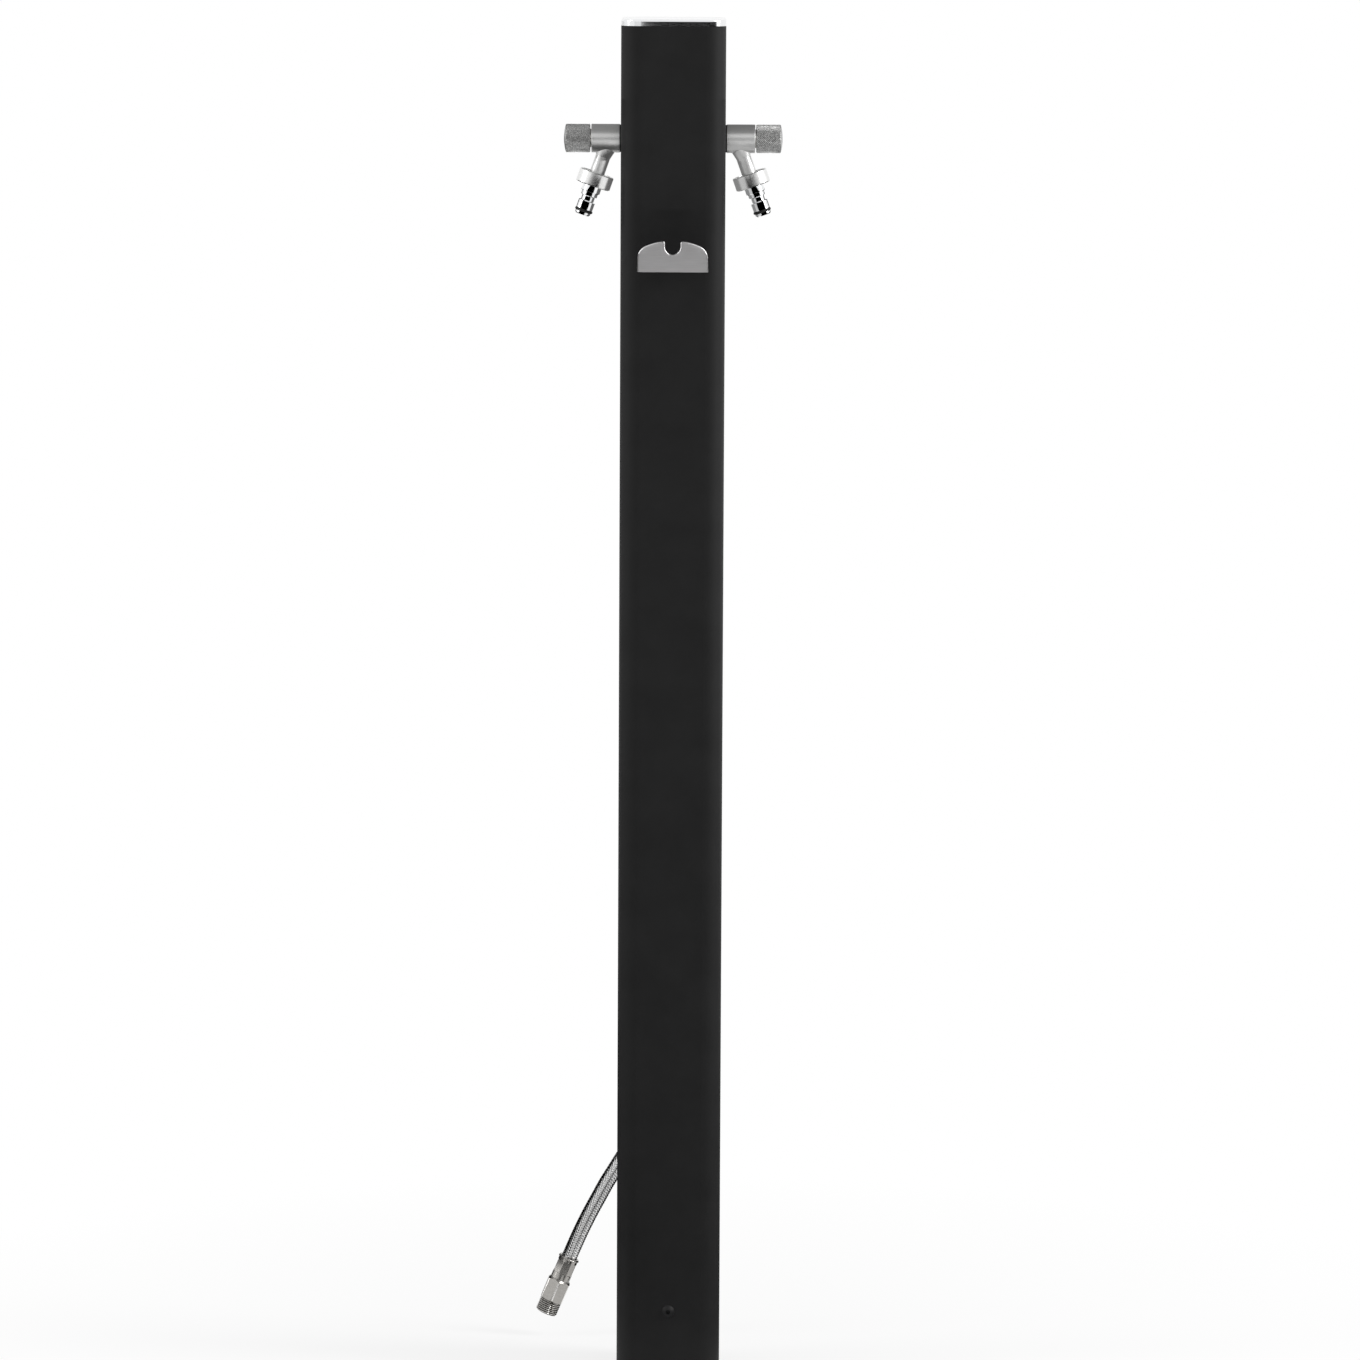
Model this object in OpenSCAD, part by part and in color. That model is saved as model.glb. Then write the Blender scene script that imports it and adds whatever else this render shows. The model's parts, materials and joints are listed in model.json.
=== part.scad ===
// Garden standpipe: a square column with two side taps, a hose hook and a braided supply hose.
// Lengths are millimetres. The origin is the middle of the foot on the ground,
// +Z is up, +X is to the right and the front faces -Y.

/* [Column] */
// Width of the column, left to right
column_w = 95; // [90:1:110]
// Depth of the column, front to back
column_d = 95; // [90:1:110]
// Length of the column profile
column_h = 1240; // [1100:10:1400]
// Wall of the profile
column_wall = 2.5; // [2:0.1:3.5]
// Outside radius of the upright edges
column_corner_r = 18; // [14:1:22]

/* [Top cap] */
// Height of the cap's rim above the column
cap_rim_h = 6; // [5:0.5:12]
// Radius of the rim's top edge
cap_edge_r = 2; // [0.5:0.25:3]
// Thickness of the cap's top
cap_top_t = 2.5; // [2:0.5:4]
// Depth of the skirt inside the column
cap_skirt_h = 16; // [8:1:40]
// Wall of the skirt
cap_skirt_wall = 2; // [1.5:0.5:3]

/* [Foot] */
// Thickness of the flange that the column stands on
foot_flange_t = 4; // [3:0.5:8]
// Height of the socket above the flange
foot_socket_h = 100; // [80:5:160]
// Wall of the socket
foot_socket_wall = 5; // [4:0.5:7]
// Distance between neighbouring anchor holes
anchor_spacing = 52; // [40:1:54]
// Diameter of an anchor hole
anchor_hole_d = 9; // [6:0.5:11]
// Height of the foot screws above the ground
foot_screw_z = 63; // [40:1:75]
// Thread diameter of a foot screw
foot_screw_d = 6; // [5:1:8]
// Length of a foot screw under its head
foot_screw_len = 9; // [8.5:0.5:12]
// Head diameter of a foot screw
foot_screw_head_d = 12; // [11:0.5:16]
// Head height of a foot screw
foot_screw_head_h = 3.3; // [2.5:0.1:5]
// Width across flats of the key socket in the head
foot_screw_key = 4; // [3:0.5:5]

/* [Hose hook] */
// Distance from the column's top down to the plate's lower edge
hook_drop = 219.5; // [180:0.5:300]
// Width of the plate
hook_w = 64; // [56:1:80]
// Height of the plate at its middle
hook_h = 28.5; // [26:0.5:40]
// Thickness of the plate
hook_t = 3; // [2:0.5:5]
// Radius of the plate's crowned top
hook_crown_r = 62; // [50:1:90]
// Radius of the plate's shoulders
hook_shoulder_r = 13; // [6:0.5:15]
// Width of the notch
hook_notch_w = 14; // [10:0.5:18]
// Depth of the notch below the crown
hook_notch_depth = 12.5; // [9.5:0.5:14]
// Radius of the notch's lips
hook_lip_r = 2; // [1:0.25:3]
// Diameter of the stem between plate and column
hook_stem_d = 13; // [11:0.5:14]
// Length of the stem
hook_stem_len = 30; // [20:1:50]
// Height of the stem's axis above the plate's lower edge
hook_stem_up = 7; // [7:0.5:9]
// Thread diameter of the screw that holds the stem
hook_screw_d = 6; // [5:1:8]
// Length of thread in the stem
hook_screw_grip = 14; // [8:1:18]
// Outside diameter of the washer inside the wall
hook_washer_d = 18; // [14:1:24]
// Thickness of that washer
hook_washer_t = 1.6; // [1:0.2:2.4]
// Width across flats of the screw's head
hook_head_flats = 10; // [9:0.5:13]
// Height of the screw's head
hook_head_h = 4; // [3:0.5:6]

/* [Tap bodies] */
// Distance from the column's top down to the tap axis
tap_drop = 103; // [80:1:140]
// Diameter of a tap's body
tap_body_d = 26; // [25:0.5:30]
// Distance from the column's face to the end of the body
tap_body_reach = 27; // [25:0.5:34]
// Chamfer on the body's edges
tap_edge = 0.4; // [0.2:0.1:0.8]
// Diameter of the threaded tail
tap_tail_d = 20.96; // [20:0.02:21.4]
// Length of thread in the tee
tap_tail_grip = 13; // [10:0.5:16]
// Bore of the tail
tap_inlet_d = 12; // [9:0.5:12.5]
// Thickness of the washer against the column
wall_washer_t = 1; // [0.5:0.25:2]
// Outside diameter of that washer
wall_washer_d = 25; // [23:0.5:26]

/* [Tap knobs] */
// Diameter of a knob
knob_d = 26; // [25:0.5:32]
// Length of a knob over its domed end
knob_len = 24; // [22:0.5:32]
// Rise of the domed end
knob_dome = 1.7; // [0.5:0.1:4]
// Chamfer on the knob's edges
knob_edge = 0.6; // [0.2:0.1:1]
// Gap between body and knob
knob_gap = 1; // [0.5:0.1:2]
// Depth of the hollow that covers the cartridge's neck
knob_hollow_depth = 8; // [7.5:0.5:10]
// Depth of the hub's socket on the spindle
knob_hub_depth = 10; // [8:0.5:11]
// Thread diameter of the knob's grub screw
grub_d = 4; // [3:0.5:5]
// Depth of the grub screw's end below the knob's surface
grub_recess = 1; // [0.5:0.25:2]
// Width across flats of the grub screw's key socket
grub_key = 2; // [1.5:0.1:2.5]

/* [Tap cartridges] */
// Distance from the column's face to the cartridge's seat
seat_reach = 5; // [4:0.5:6]
// Thickness of the seal on the seat
seat_seal_t = 1.5; // [1:0.25:2]
// Thread diameter of the cartridge
cartridge_d = 19.4; // [18.6:0.1:20]
// Outside diameter of the cage round the discs
cage_d = 18; // [17.6:0.1:18.4]
// Wall of the cage
cage_wall = 0.8; // [0.6:0.1:1]
// Diameter of the neck inside the knob
cartridge_neck_d = 17; // [14:0.5:18]
// Length of that neck past the body
cartridge_neck_len = 6; // [5:0.5:6.5]
// Thickness of a ceramic disc
disc_t = 3; // [2:0.25:3.5]
// Angle of one port in a disc
disc_port_angle = 80; // [50:5:84]
// Thickness of the spindle's driver
driver_t = 3; // [2.5:0.25:4]
// Diameter of the spindle
spindle_d = 8; // [7:0.25:9]
// Width across the spindle's flats
spindle_flats = 6.2; // [5.5:0.1:6.6]
// Turn from shut to open, in degrees
valve_turn = 90; // [80:1:100]

/* [Spouts] */
// Tilt of a spout away from the column, in degrees
spout_tilt = 19.5; // [12:0.5:24]
// Distance from the column's face to where the spout leaves the tap axis
spout_offset = 10.5; // [10:0.25:12]
// Distance along the spout from the tap axis to the nut
spout_reach = 33.2; // [30:0.2:45]
// Diameter of the spout's neck
spout_neck_d = 13.5; // [12:0.5:15]
// Widening of the neck's foot on the body
spout_flare = 2; // [1:0.25:2.5]
// Bore of the spout
spout_bore_d = 9; // [7:0.5:10]
// Diameter of the threaded spigot inside the nut
spigot_d = 26.44; // [25:0.02:27]
// Length of the spigot
spigot_len = 6; // [5:0.5:9]
// Diameter of the nut
nut_d = 32; // [31:0.5:36]
// Chamfer on the nut's edges
nut_edge = 0.8; // [0.4:0.1:1.2]
// Thickness of the nut's lip under the nipple's flange
nut_lip_t = 2.5; // [1.5:0.25:4]
// Thickness of the flat washer in the nut
nut_washer_t = 1.5; // [1:0.25:3]

/* [Hose nipples] */
// Bore of a nipple
nipple_bore_d = 9; // [7:0.5:9.5]
// Thickness of the flange inside the nut
nipple_flange_t = 2; // [1.5:0.25:3]
// Diameter of the collar below the nut
nipple_collar_d = 17.5; // [17:0.1:18.5]
// Length of the collar
nipple_collar_len = 6.3; // [5:0.1:8]
// Diameter of the step below the collar
nipple_step_d = 15; // [14.6:0.1:15.6]
// Length of the step
nipple_step_len = 3.4; // [2.5:0.1:5]
// Diameter of the waist that a coupling's claws hold
nipple_waist_d = 12; // [11.6:0.1:13]
// Length of the waist with its two slopes
nipple_waist_len = 5.3; // [4:0.1:7]
// Diameter of the barrel
nipple_barrel_d = 15.4; // [15:0.1:16]
// Length of the barrel
nipple_barrel_len = 7.4; // [6:0.1:9]
// Diameter of the tip past the O-ring
nipple_tip_d = 14.4; // [13.6:0.1:15]
// Length of the tip
nipple_tip_len = 2.6; // [2:0.1:4]
// Outside diameter of the O-ring
o_ring_d = 16.6; // [16.2:0.1:17]
// Section of the O-ring
o_ring_section = 2.6; // [2.4:0.1:2.7]

/* [Inlet tee] */
// Outside diameter of the tee
tee_d = 28; // [26:0.5:32]
// Bore between the tee's ports
tee_bore_d = 12; // [10:0.5:14]
// Length of the threaded stub under the tee
tee_stub_len = 13; // [11:0.5:18]
// Thickness of the fibre washers in the tee and the hose nut
fibre_washer_t = 1.5; // [1:0.25:2]

/* [Supply hose] */
// Diameter of the braided hose
hose_d = 15; // [14:0.25:15.5]
// Height of the hose's way out at the back
hose_exit_z = 235; // [225:5:260]
// Diameter of the crimped ferrules
ferrule_d = 18.6; // [18:0.1:20]
// Length of a ferrule
ferrule_len = 23; // [20:0.5:25]
// Depth of the crimps in a ferrule
crimp_depth = 0.6; // [0.3:0.1:0.9]
// Number of crimps round a ferrule
crimp_count = 8; // [6:1:10]
// Width across flats of the hose nut under the tee
hose_nut_flats = 25; // [24:0.5:28]
// Width across flats of the hose's lower end
hose_end_flats = 21; // [20.5:0.5:24]
// Length of that hexagon
hose_end_hex_len = 21; // [12:1:24]
// Diameter of the thread on the lower end
supply_thread_d = 20.96; // [19:0.02:21]
// Length of the thread on the lower end
supply_thread_len = 13; // [10:0.5:14]
// Bore of the hose's end pieces
hose_bore_d = 10; // [8:0.5:11]
// Diameter of the grommet's flanges
grommet_d = 30; // [27:1:36]
// Thickness of a grommet flange
grommet_flange_t = 2; // [1.5:0.25:3]
// Wall of the grommet inside the column's hole
grommet_wall = 3; // [2:0.5:4]

/* [Fits] */
// Gap round pieces that slip into each other
slip_fit = 0.3; // [0.2:0.05:0.4]
// Gap round threads and pressed pieces
thread_fit = 0.1; // [0.05:0.05:0.15]
// Gap round a turning spindle
running_fit = 0.05; // [0.03:0.01:0.08]

/* [Hidden] */
$fn = 64;

SIDES = ["left", "right"];
COLUMN_NODES = [
    "column", "top_cap", "ground_socket", "foot_screws",
    "hook_plate", "hook_stem", "hook_screw", "hook_washer",
];
SUPPLY_NODES = [
    "inlet_tee", "hose_nut", "hose_nut_washer", "hose_tail", "upper_ferrule", "inner_hose",
    "hose_grommet", "supply_hose", "lower_ferrule", "hose_end",
];
TAP_NODES = [
    "tap_body", "wall_washer", "tail_washer", "seat_seal", "cartridge", "fixed_disc", "turning_disc",
    "spindle", "spindle_o_ring", "spindle_clip", "knob", "grub_screw",
    "spout_nut", "nipple_washer", "hose_nipple", "nipple_o_ring",
];

// How far a cutter or a joined section runs past the face that it meets
overlap = 1;

// Heights of the column's parts
column_top_z = foot_flange_t + column_h;
tap_z = column_top_z - tap_drop;
hook_z = column_top_z - hook_drop;

// Inside of the column
inner_w = column_w - 2 * column_wall;
inner_d = column_d - 2 * column_wall;
inner_corner_r = column_corner_r - column_wall;
plug_w = inner_w - 2 * slip_fit;
plug_d = inner_d - 2 * slip_fit;
plug_corner_r = inner_corner_r - slip_fit;

// Tap and cartridge, as distances along the tap axis from the column's face
tee_end_gap = 0.5;
tail_end = -column_wall - tee_end_gap - tap_tail_grip;
knob_start = tap_body_reach + knob_gap;
knob_end = knob_start + knob_len;
fixed_disc_start = seat_reach + seat_seal_t;
turning_disc_start = fixed_disc_start + disc_t;
driver_start = turning_disc_start + disc_t;
driver_end = driver_start + driver_t;
driver_play = 0.2;
cage_end = driver_end + driver_play;
cage_roof_t = 1.3;
neck_end = tap_body_reach + cartridge_neck_len;
clip_t = 0.8;
clip_start = neck_end + driver_play;
hub_start = knob_start + knob_hollow_depth;
hub_end = hub_start + knob_hub_depth;
spindle_end = hub_end - slip_fit;
knob_hollow_gap = 0.9;
knob_hollow_d = cartridge_neck_d + 2 * knob_hollow_gap;
disc_d = cage_d - 2 * cage_wall - 2 * slip_fit;
chamber_d = cartridge_d + 2 * thread_fit;

// Stops of the valve: two lugs on the driver that travel in the cage's windows
stop_lug_angle = 24;
stop_margin = 2;
window_angle = valve_turn + stop_lug_angle + 2 * stop_margin;
tang_w = 3;
tang_h = 1.5;

// Grooves on the spindle
ring_section = 1.4;
ring_groove_d = spindle_d - 2 * ring_section - 2 * running_fit;
ring_inset = 6;
ring_start = tap_body_reach - ring_inset;
clip_groove_depth = 0.9;
clip_groove_d = spindle_d - 2 * clip_groove_depth;
clip_rise = 2;
clip_d = spindle_d + 2 * clip_rise;

// Spout, as distances along its axis from the tap axis
spigot_inset = 0.5;
spigot_start = spout_reach + spigot_inset;
spigot_end = spigot_start + spigot_len;
flange_start = spigot_end + nut_washer_t;
flange_end = flange_start + nipple_flange_t;
nut_end = flange_end + nut_lip_t;
collar_start = nut_end + slip_fit;
collar_end = nut_end + nipple_collar_len;
step_end = collar_end + nipple_step_len;
waist_end = step_end + nipple_waist_len;
barrel_end = waist_end + nipple_barrel_len;
o_ring_play = 0.2;
groove_w = o_ring_section + o_ring_play;
tip_start = barrel_end + groove_w;
tip_end = tip_start + nipple_tip_len;
flange_gap = 0.7;
flange_d = spigot_d - 2 * flange_gap;
o_ring_groove_d = o_ring_d - 2 * o_ring_section - 2 * running_fit;

// Tee and upper hose end, as distances down from the tap axis
tee_half = inner_w / 2 - tee_end_gap;
stub_end = tee_d / 2 + tee_stub_len;
hose_flange_t = 2;
hose_flange_start = stub_end + fibre_washer_t;
hose_flange_end = hose_flange_start + hose_flange_t;
hose_nut_lip_t = 2.5;
hose_nut_gap = 3;
hose_nut_start = tee_d / 2 + hose_nut_gap;
hose_nut_end = hose_flange_end + hose_nut_lip_t;
hose_tail_wall = 1.5;
hose_tail_d = hose_bore_d + 2 * hose_tail_wall;
ferrule_gap = 1;
upper_ferrule_start = hose_nut_end + ferrule_gap;
ferrule_floor_t = 2;
hose_top = upper_ferrule_start + ferrule_floor_t;
hose_bead_t = 3;
hose_stop_t = 1;

// Routes of the hose. The free stretch starts at the grommet's outer face, the inner one ends there.
hose_sides = 12;
hose_straight = 60;
hose_exit = [0, column_d / 2 + grommet_flange_t, hose_exit_z];
free_points = [
    [0, 0, 0], [0, 12, 0], [0, 24, 0], [-1, 40, -2], [-5, 54, -7], [-10, 66, -14], [-17, 76, -25],
    [-25, 82, -37], [-34, 84, -49], [-43, 84, -62], [-51, 84, -75], [-59, 84, -88], [-66, 84, -101],
    [-73, 84, -114], [-80, 84, -128], [-86, 84, -141], [-92, 84, -155], [-97, 84, -167], [-102, 84, -179],
];
inner_bend_points = [
    [0, -74, 200], [0, -74, 62], [0, -72, 46], [0, -66, 31], [0, -56, 18], [0, -43, 8], [0, -28, 2],
    [0, -12, 0], [0, 0, 0],
];
free_route = [for (p = free_points) hose_exit + p];
inner_route = concat(
    [[0, 0, tap_z - hose_top], [0, 0, tap_z - hose_top - hose_straight]],
    [for (p = inner_bend_points) hose_exit + p]
);
hose_end_point = free_route[len(free_route) - 1];
hose_end_way = unit(hose_end_point - free_route[len(free_route) - 2]);

// Sweep of a round tube along a list of points
function unit(v) = v / norm(v);
function way(points, i) =
    i == 0 ? unit(points[1] - points[0])
    : i == len(points) - 1 ? unit(points[i] - points[i - 1])
    : unit(unit(points[i + 1] - points[i]) + unit(points[i] - points[i - 1]));
function ring_points(centre, along, side, r, sides) =
    let (u = unit(side - (side * along) * along), v = cross(along, u))
    [for (k = [0 : sides - 1]) centre + r * cos(360 * k / sides) * u + r * sin(360 * k / sides) * v];

module swept_tube(points, d, sides, side) {
    rings = len(points);
    corners = [for (i = [0 : rings - 1]) each ring_points(points[i], way(points, i), side, d / 2, sides)];
    walls = [
        for (i = [0 : rings - 2], k = [0 : sides - 1])
            let (a = i * sides + k, b = i * sides + (k + 1) % sides)
            each [[a, a + sides, b], [b, a + sides, b + sides]]
    ];
    first = [for (k = [0 : sides - 1]) k];
    last = [for (k = [sides - 1 : -1 : 0]) (rings - 1) * sides + k];
    polyhedron(corners, concat(walls, [first, last]));
}

// Shared shapes
module rounded_rect(w, d, r) {
    square([w, d - 2 * r], center = true);
    square([w - 2 * r, d], center = true);
    for (sx = [-1, 1], sy = [-1, 1])
        translate([sx * (w / 2 - r), sy * (d / 2 - r)])
            circle(r);
}

module rounded_tube(w, d, r, wall, h) {
    linear_extrude(h)
        difference() {
            rounded_rect(w, d, r);
            rounded_rect(w - 2 * wall, d - 2 * wall, r - wall);
        }
}

// Half section of a ring between two distances along its axis
module section(inner, outer, from, to) {
    translate([inner / 2, from])
        square([(outer - inner) / 2, to - from]);
}

// Half section of a plain ring with both outer edges chamfered
module chamfered_section(inner, outer, from, to, edge) {
    polygon([
        [inner / 2, from], [outer / 2 - edge, from], [outer / 2, from + edge],
        [outer / 2, to - edge], [outer / 2 - edge, to], [inner / 2, to],
    ]);
}

module hexagon(flats) {
    circle(d = flats / cos(30), $fn = 6);
}

// Places
module front_face(z) {
    translate([0, -column_d / 2, z])
        rotate([90, 0, 0])
            children();
}

module rear_face(z) {
    translate([0, column_d / 2, z])
        rotate([-90, 0, 0])
            children();
}

// Both taps are the same tap, turned half round the column for the left side
module on_tap(side) {
    rotate([0, 0, side == "right" ? 0 : 180])
        translate([column_w / 2, 0, tap_z])
            children();
}

module turned_x() {
    rotate([0, 90, 0])
        rotate_extrude()
            children();
}

module along_spout() {
    translate([spout_offset, 0, 0])
        rotate([0, 180 - spout_tilt, 0])
            children();
}

module below_tee() {
    translate([0, 0, tap_z])
        rotate([180, 0, 0])
            children();
}

// Frame of the hose's lower end: +Z runs on along the hose, and a corner of a hexagon faces the front
module at_hose_end() {
    translate(hose_end_point)
        rotate([0, acos(hose_end_way.z), atan2(hose_end_way.y, hose_end_way.x)])
            rotate([0, 0, 90])
                children();
}

// Column, cap and foot
module column() {
    color("#2a2a2b")
        difference() {
            translate([0, 0, foot_flange_t])
                rounded_tube(column_w, column_d, column_corner_r, column_wall, column_h);
            for (side = SIDES)
                on_tap(side)
                    turned_x()
                        section(0, tap_tail_d + 2 * slip_fit, -2 * column_wall, column_wall);
            front_face(hook_z + hook_stem_up)
                wall_hole(hook_screw_d + 2 * slip_fit);
            front_face(foot_screw_z)
                wall_hole(foot_screw_d + 2 * slip_fit);
            rear_face(foot_screw_z)
                wall_hole(foot_screw_d + 2 * slip_fit);
            rear_face(hose_exit_z)
                wall_hole(hose_d + 2 * grommet_wall + 2 * thread_fit);
        }
}

module wall_hole(d) {
    translate([0, 0, -2 * column_wall])
        cylinder(h = 3 * column_wall, d = d);
}

module rim_section() {
    square([column_corner_r - cap_edge_r, cap_rim_h]);
    square([column_corner_r, cap_rim_h - cap_edge_r]);
    translate([column_corner_r - cap_edge_r, cap_rim_h - cap_edge_r])
        circle(cap_edge_r);
}

module rim_side(length) {
    translate([0, length / 2, 0])
        rotate([90, 0, 0])
            linear_extrude(length)
                rim_section();
}

// The rim's rounded edge runs straight along four sides and turns through four corners
module cap_rim() {
    core_w = column_w - 2 * column_corner_r;
    core_d = column_d - 2 * column_corner_r;
    linear_extrude(cap_rim_h)
        square([core_w, core_d], center = true);
    for (turn = [0, 180]) {
        rotate(turn)
            translate([core_w / 2, 0, 0])
                rim_side(core_d);
        rotate(turn + 90)
            translate([core_d / 2, 0, 0])
                rim_side(core_w);
        rotate(turn) {
            translate([core_w / 2, core_d / 2, 0])
                rotate_extrude(angle = 90)
                    rim_section();
            translate([-core_w / 2, core_d / 2, 0])
                rotate(90)
                    rotate_extrude(angle = 90)
                        rim_section();
        }
    }
}

module top_cap() {
    color("#d9dadb")
        translate([0, 0, column_top_z]) {
            difference() {
                cap_rim();
                translate([0, 0, -cap_top_t])
                    linear_extrude(cap_rim_h)
                        rounded_rect(
                            plug_w - 2 * cap_skirt_wall,
                            plug_d - 2 * cap_skirt_wall,
                            plug_corner_r - cap_skirt_wall
                        );
            }
            translate([0, 0, -cap_skirt_h])
                rounded_tube(plug_w, plug_d, plug_corner_r, cap_skirt_wall, cap_skirt_h);
        }
}

module ground_socket() {
    color("#3a3b3c")
        difference() {
            union() {
                linear_extrude(foot_flange_t)
                    rounded_rect(column_w, column_d, column_corner_r);
                rounded_tube(
                    plug_w, plug_d, plug_corner_r,
                    foot_socket_wall, foot_flange_t + foot_socket_h
                );
            }
            for (sx = [-1, 1], sy = [-1, 1])
                translate([sx * anchor_spacing / 2, sy * anchor_spacing / 2, -overlap])
                    cylinder(h = foot_flange_t + 2 * overlap, d = anchor_hole_d);
            front_face(foot_screw_z)
                screw_hole_in_socket();
            rear_face(foot_screw_z)
                screw_hole_in_socket();
        }
}

module screw_hole_in_socket() {
    translate([0, 0, -column_wall - foot_socket_wall - overlap])
        cylinder(h = column_wall + foot_socket_wall + overlap, d = foot_screw_d + 2 * thread_fit);
}

module foot_screw() {
    dome_r = (pow(foot_screw_head_d / 2, 2) + pow(foot_screw_head_h, 2)) / (2 * foot_screw_head_h);
    difference() {
        union() {
            intersection() {
                cylinder(h = foot_screw_head_h, d = foot_screw_head_d);
                translate([0, 0, foot_screw_head_h - dome_r])
                    sphere(dome_r);
            }
            translate([0, 0, -foot_screw_len])
                cylinder(h = foot_screw_len, d = foot_screw_d);
        }
        translate([0, 0, foot_screw_head_h / 3])
            linear_extrude(foot_screw_head_h)
                hexagon(foot_screw_key);
    }
}

module foot_screws() {
    color("#1b1b1c") {
        front_face(foot_screw_z)
            foot_screw();
        rear_face(foot_screw_z)
            foot_screw();
    }
}

// Hose hook
module hook_outline() {
    shoulder_x = hook_w / 2 - hook_shoulder_r;
    crown_y = hook_h - hook_crown_r;
    shoulder_y = crown_y + sqrt(pow(hook_crown_r - hook_shoulder_r, 2) - pow(shoulder_x, 2));
    crown_x = shoulder_x * hook_crown_r / (hook_crown_r - hook_shoulder_r);
    lip_x = hook_notch_w / 2 + hook_lip_r;
    lip_y = crown_y + sqrt(pow(hook_crown_r - hook_lip_r, 2) - pow(lip_x, 2));
    lip_end_x = lip_x * hook_crown_r / (hook_crown_r - hook_lip_r);
    difference() {
        union() {
            difference() {
                union() {
                    translate([-hook_w / 2, 0])
                        square([hook_w, shoulder_y]);
                    for (sx = [-1, 1])
                        translate([sx * shoulder_x, shoulder_y])
                            circle(hook_shoulder_r);
                    intersection() {
                        translate([0, crown_y])
                            circle(hook_crown_r);
                        translate([-crown_x, 0])
                            square([2 * crown_x, hook_h]);
                    }
                }
                translate([-lip_end_x, lip_y])
                    square([2 * lip_end_x, hook_h]);
            }
            for (sx = [-1, 1])
                translate([sx * lip_x, lip_y])
                    circle(hook_lip_r);
        }
        translate([0, hook_h - hook_notch_depth + hook_notch_w / 2]) {
            circle(d = hook_notch_w);
            translate([-hook_notch_w / 2, 0])
                square([hook_notch_w, hook_h]);
        }
    }
}

module hook_plate() {
    color("#a9a9aa")
        front_face(hook_z)
            translate([0, 0, hook_stem_len])
                linear_extrude(hook_t)
                    hook_outline();
}

module hook_stem() {
    color("#a9a9aa")
        front_face(hook_z + hook_stem_up)
            difference() {
                cylinder(h = hook_stem_len, d = hook_stem_d);
                translate([0, 0, -overlap])
                    cylinder(h = hook_screw_grip + 2 * overlap, d = hook_screw_d + 2 * thread_fit);
            }
}

module hook_screw() {
    head_start = -column_wall - hook_washer_t;
    color("#8f9091")
        front_face(hook_z + hook_stem_up) {
            translate([0, 0, head_start - hook_head_h])
                linear_extrude(hook_head_h)
                    hexagon(hook_head_flats);
            translate([0, 0, head_start])
                cylinder(h = hook_screw_grip - head_start, d = hook_screw_d);
        }
}

module hook_washer() {
    color("#8f9091")
        front_face(hook_z + hook_stem_up)
            rotate_extrude()
                section(
                    hook_screw_d + 2 * slip_fit, hook_washer_d,
                    -column_wall - hook_washer_t, -column_wall
                );
}

// Tap bodies
module tap_body(side) {
    color("#9c9c9b")
        on_tap(side)
            difference() {
                union() {
                    turned_x() {
                        section(0, tap_tail_d, tail_end, wall_washer_t + tap_edge);
                        chamfered_section(0, tap_body_d, wall_washer_t, tap_body_reach, tap_edge);
                    }
                    along_spout()
                        rotate_extrude()
                            spout_section();
                }
                turned_x() {
                    section(0, tap_inlet_d, tail_end - overlap, seat_reach + overlap);
                    section(0, chamber_d, seat_reach, tap_body_reach + overlap);
                }
                along_spout()
                    cylinder(h = spigot_end + overlap, d = spout_bore_d);
            }
}

// The neck stands on the body with a flared foot and ends in the spigot that the nut turns on
module spout_section() {
    flare_sink = 3;
    flare_rise = 5;
    flare_start = tap_body_d / 2 - flare_sink;
    flare_end = tap_body_d / 2 + flare_rise;
    polygon([
        [0, 0], [spout_neck_d / 2 + spout_flare, 0], [spout_neck_d / 2 + spout_flare, flare_start],
        [spout_neck_d / 2, flare_end], [spout_neck_d / 2, spigot_start],
        [spigot_d / 2, spigot_start], [spigot_d / 2, spigot_end], [0, spigot_end],
    ]);
}

module wall_washer(side) {
    color("#1e1e1e")
        on_tap(side)
            turned_x()
                section(tap_tail_d + 2 * slip_fit, wall_washer_d, 0, wall_washer_t);
}

module tail_washer(side) {
    color("#7d2f22")
        on_tap(side)
            turned_x()
                section(tap_inlet_d, tap_tail_d - 2 * slip_fit, tail_end - fibre_washer_t, tail_end);
}

// Tap cartridges
module seat_seal(side) {
    color("#222222")
        on_tap(side)
            turned_x()
                section(tap_inlet_d, cage_d - 2 * slip_fit, seat_reach, fixed_disc_start);
}

module cartridge(side) {
    bore_d = spindle_d + 2 * running_fit;
    color("#c3c0b8")
        on_tap(side)
            difference() {
                turned_x() {
                    section(cage_d - 2 * cage_wall, cage_d, fixed_disc_start, cage_end + cage_roof_t);
                    section(bore_d, cage_d, cage_end, cage_end + cage_roof_t);
                    section(bore_d, cartridge_d, cage_end + cage_roof_t, tap_body_reach);
                    section(bore_d, cartridge_neck_d, tap_body_reach - overlap, neck_end);
                }
                for (turn = [0, 180])
                    rotate([0, 90, 0])
                        rotate([0, 0, turn - window_angle / 2])
                            rotate_extrude(angle = window_angle)
                                section(
                                    cage_d - 4 * cage_wall, cage_d + cage_wall,
                                    turning_disc_start + slip_fit, driver_end
                                );
            }
}

// A round disc with two opposite ports, each a sector between the hub and the rim
module ported_disc(start, turn) {
    hub_d = 3;
    rim_w = 1.4;
    rotate([0, 90, 0])
        rotate([0, 0, turn])
            translate([0, 0, start])
                difference() {
                    cylinder(h = disc_t, d = disc_d);
                    for (half = [0, 180])
                        rotate([0, 0, half - disc_port_angle / 2])
                            rotate_extrude(angle = disc_port_angle)
                                section(hub_d, disc_d - 2 * rim_w, -overlap, disc_t + overlap);
                }
}

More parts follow.
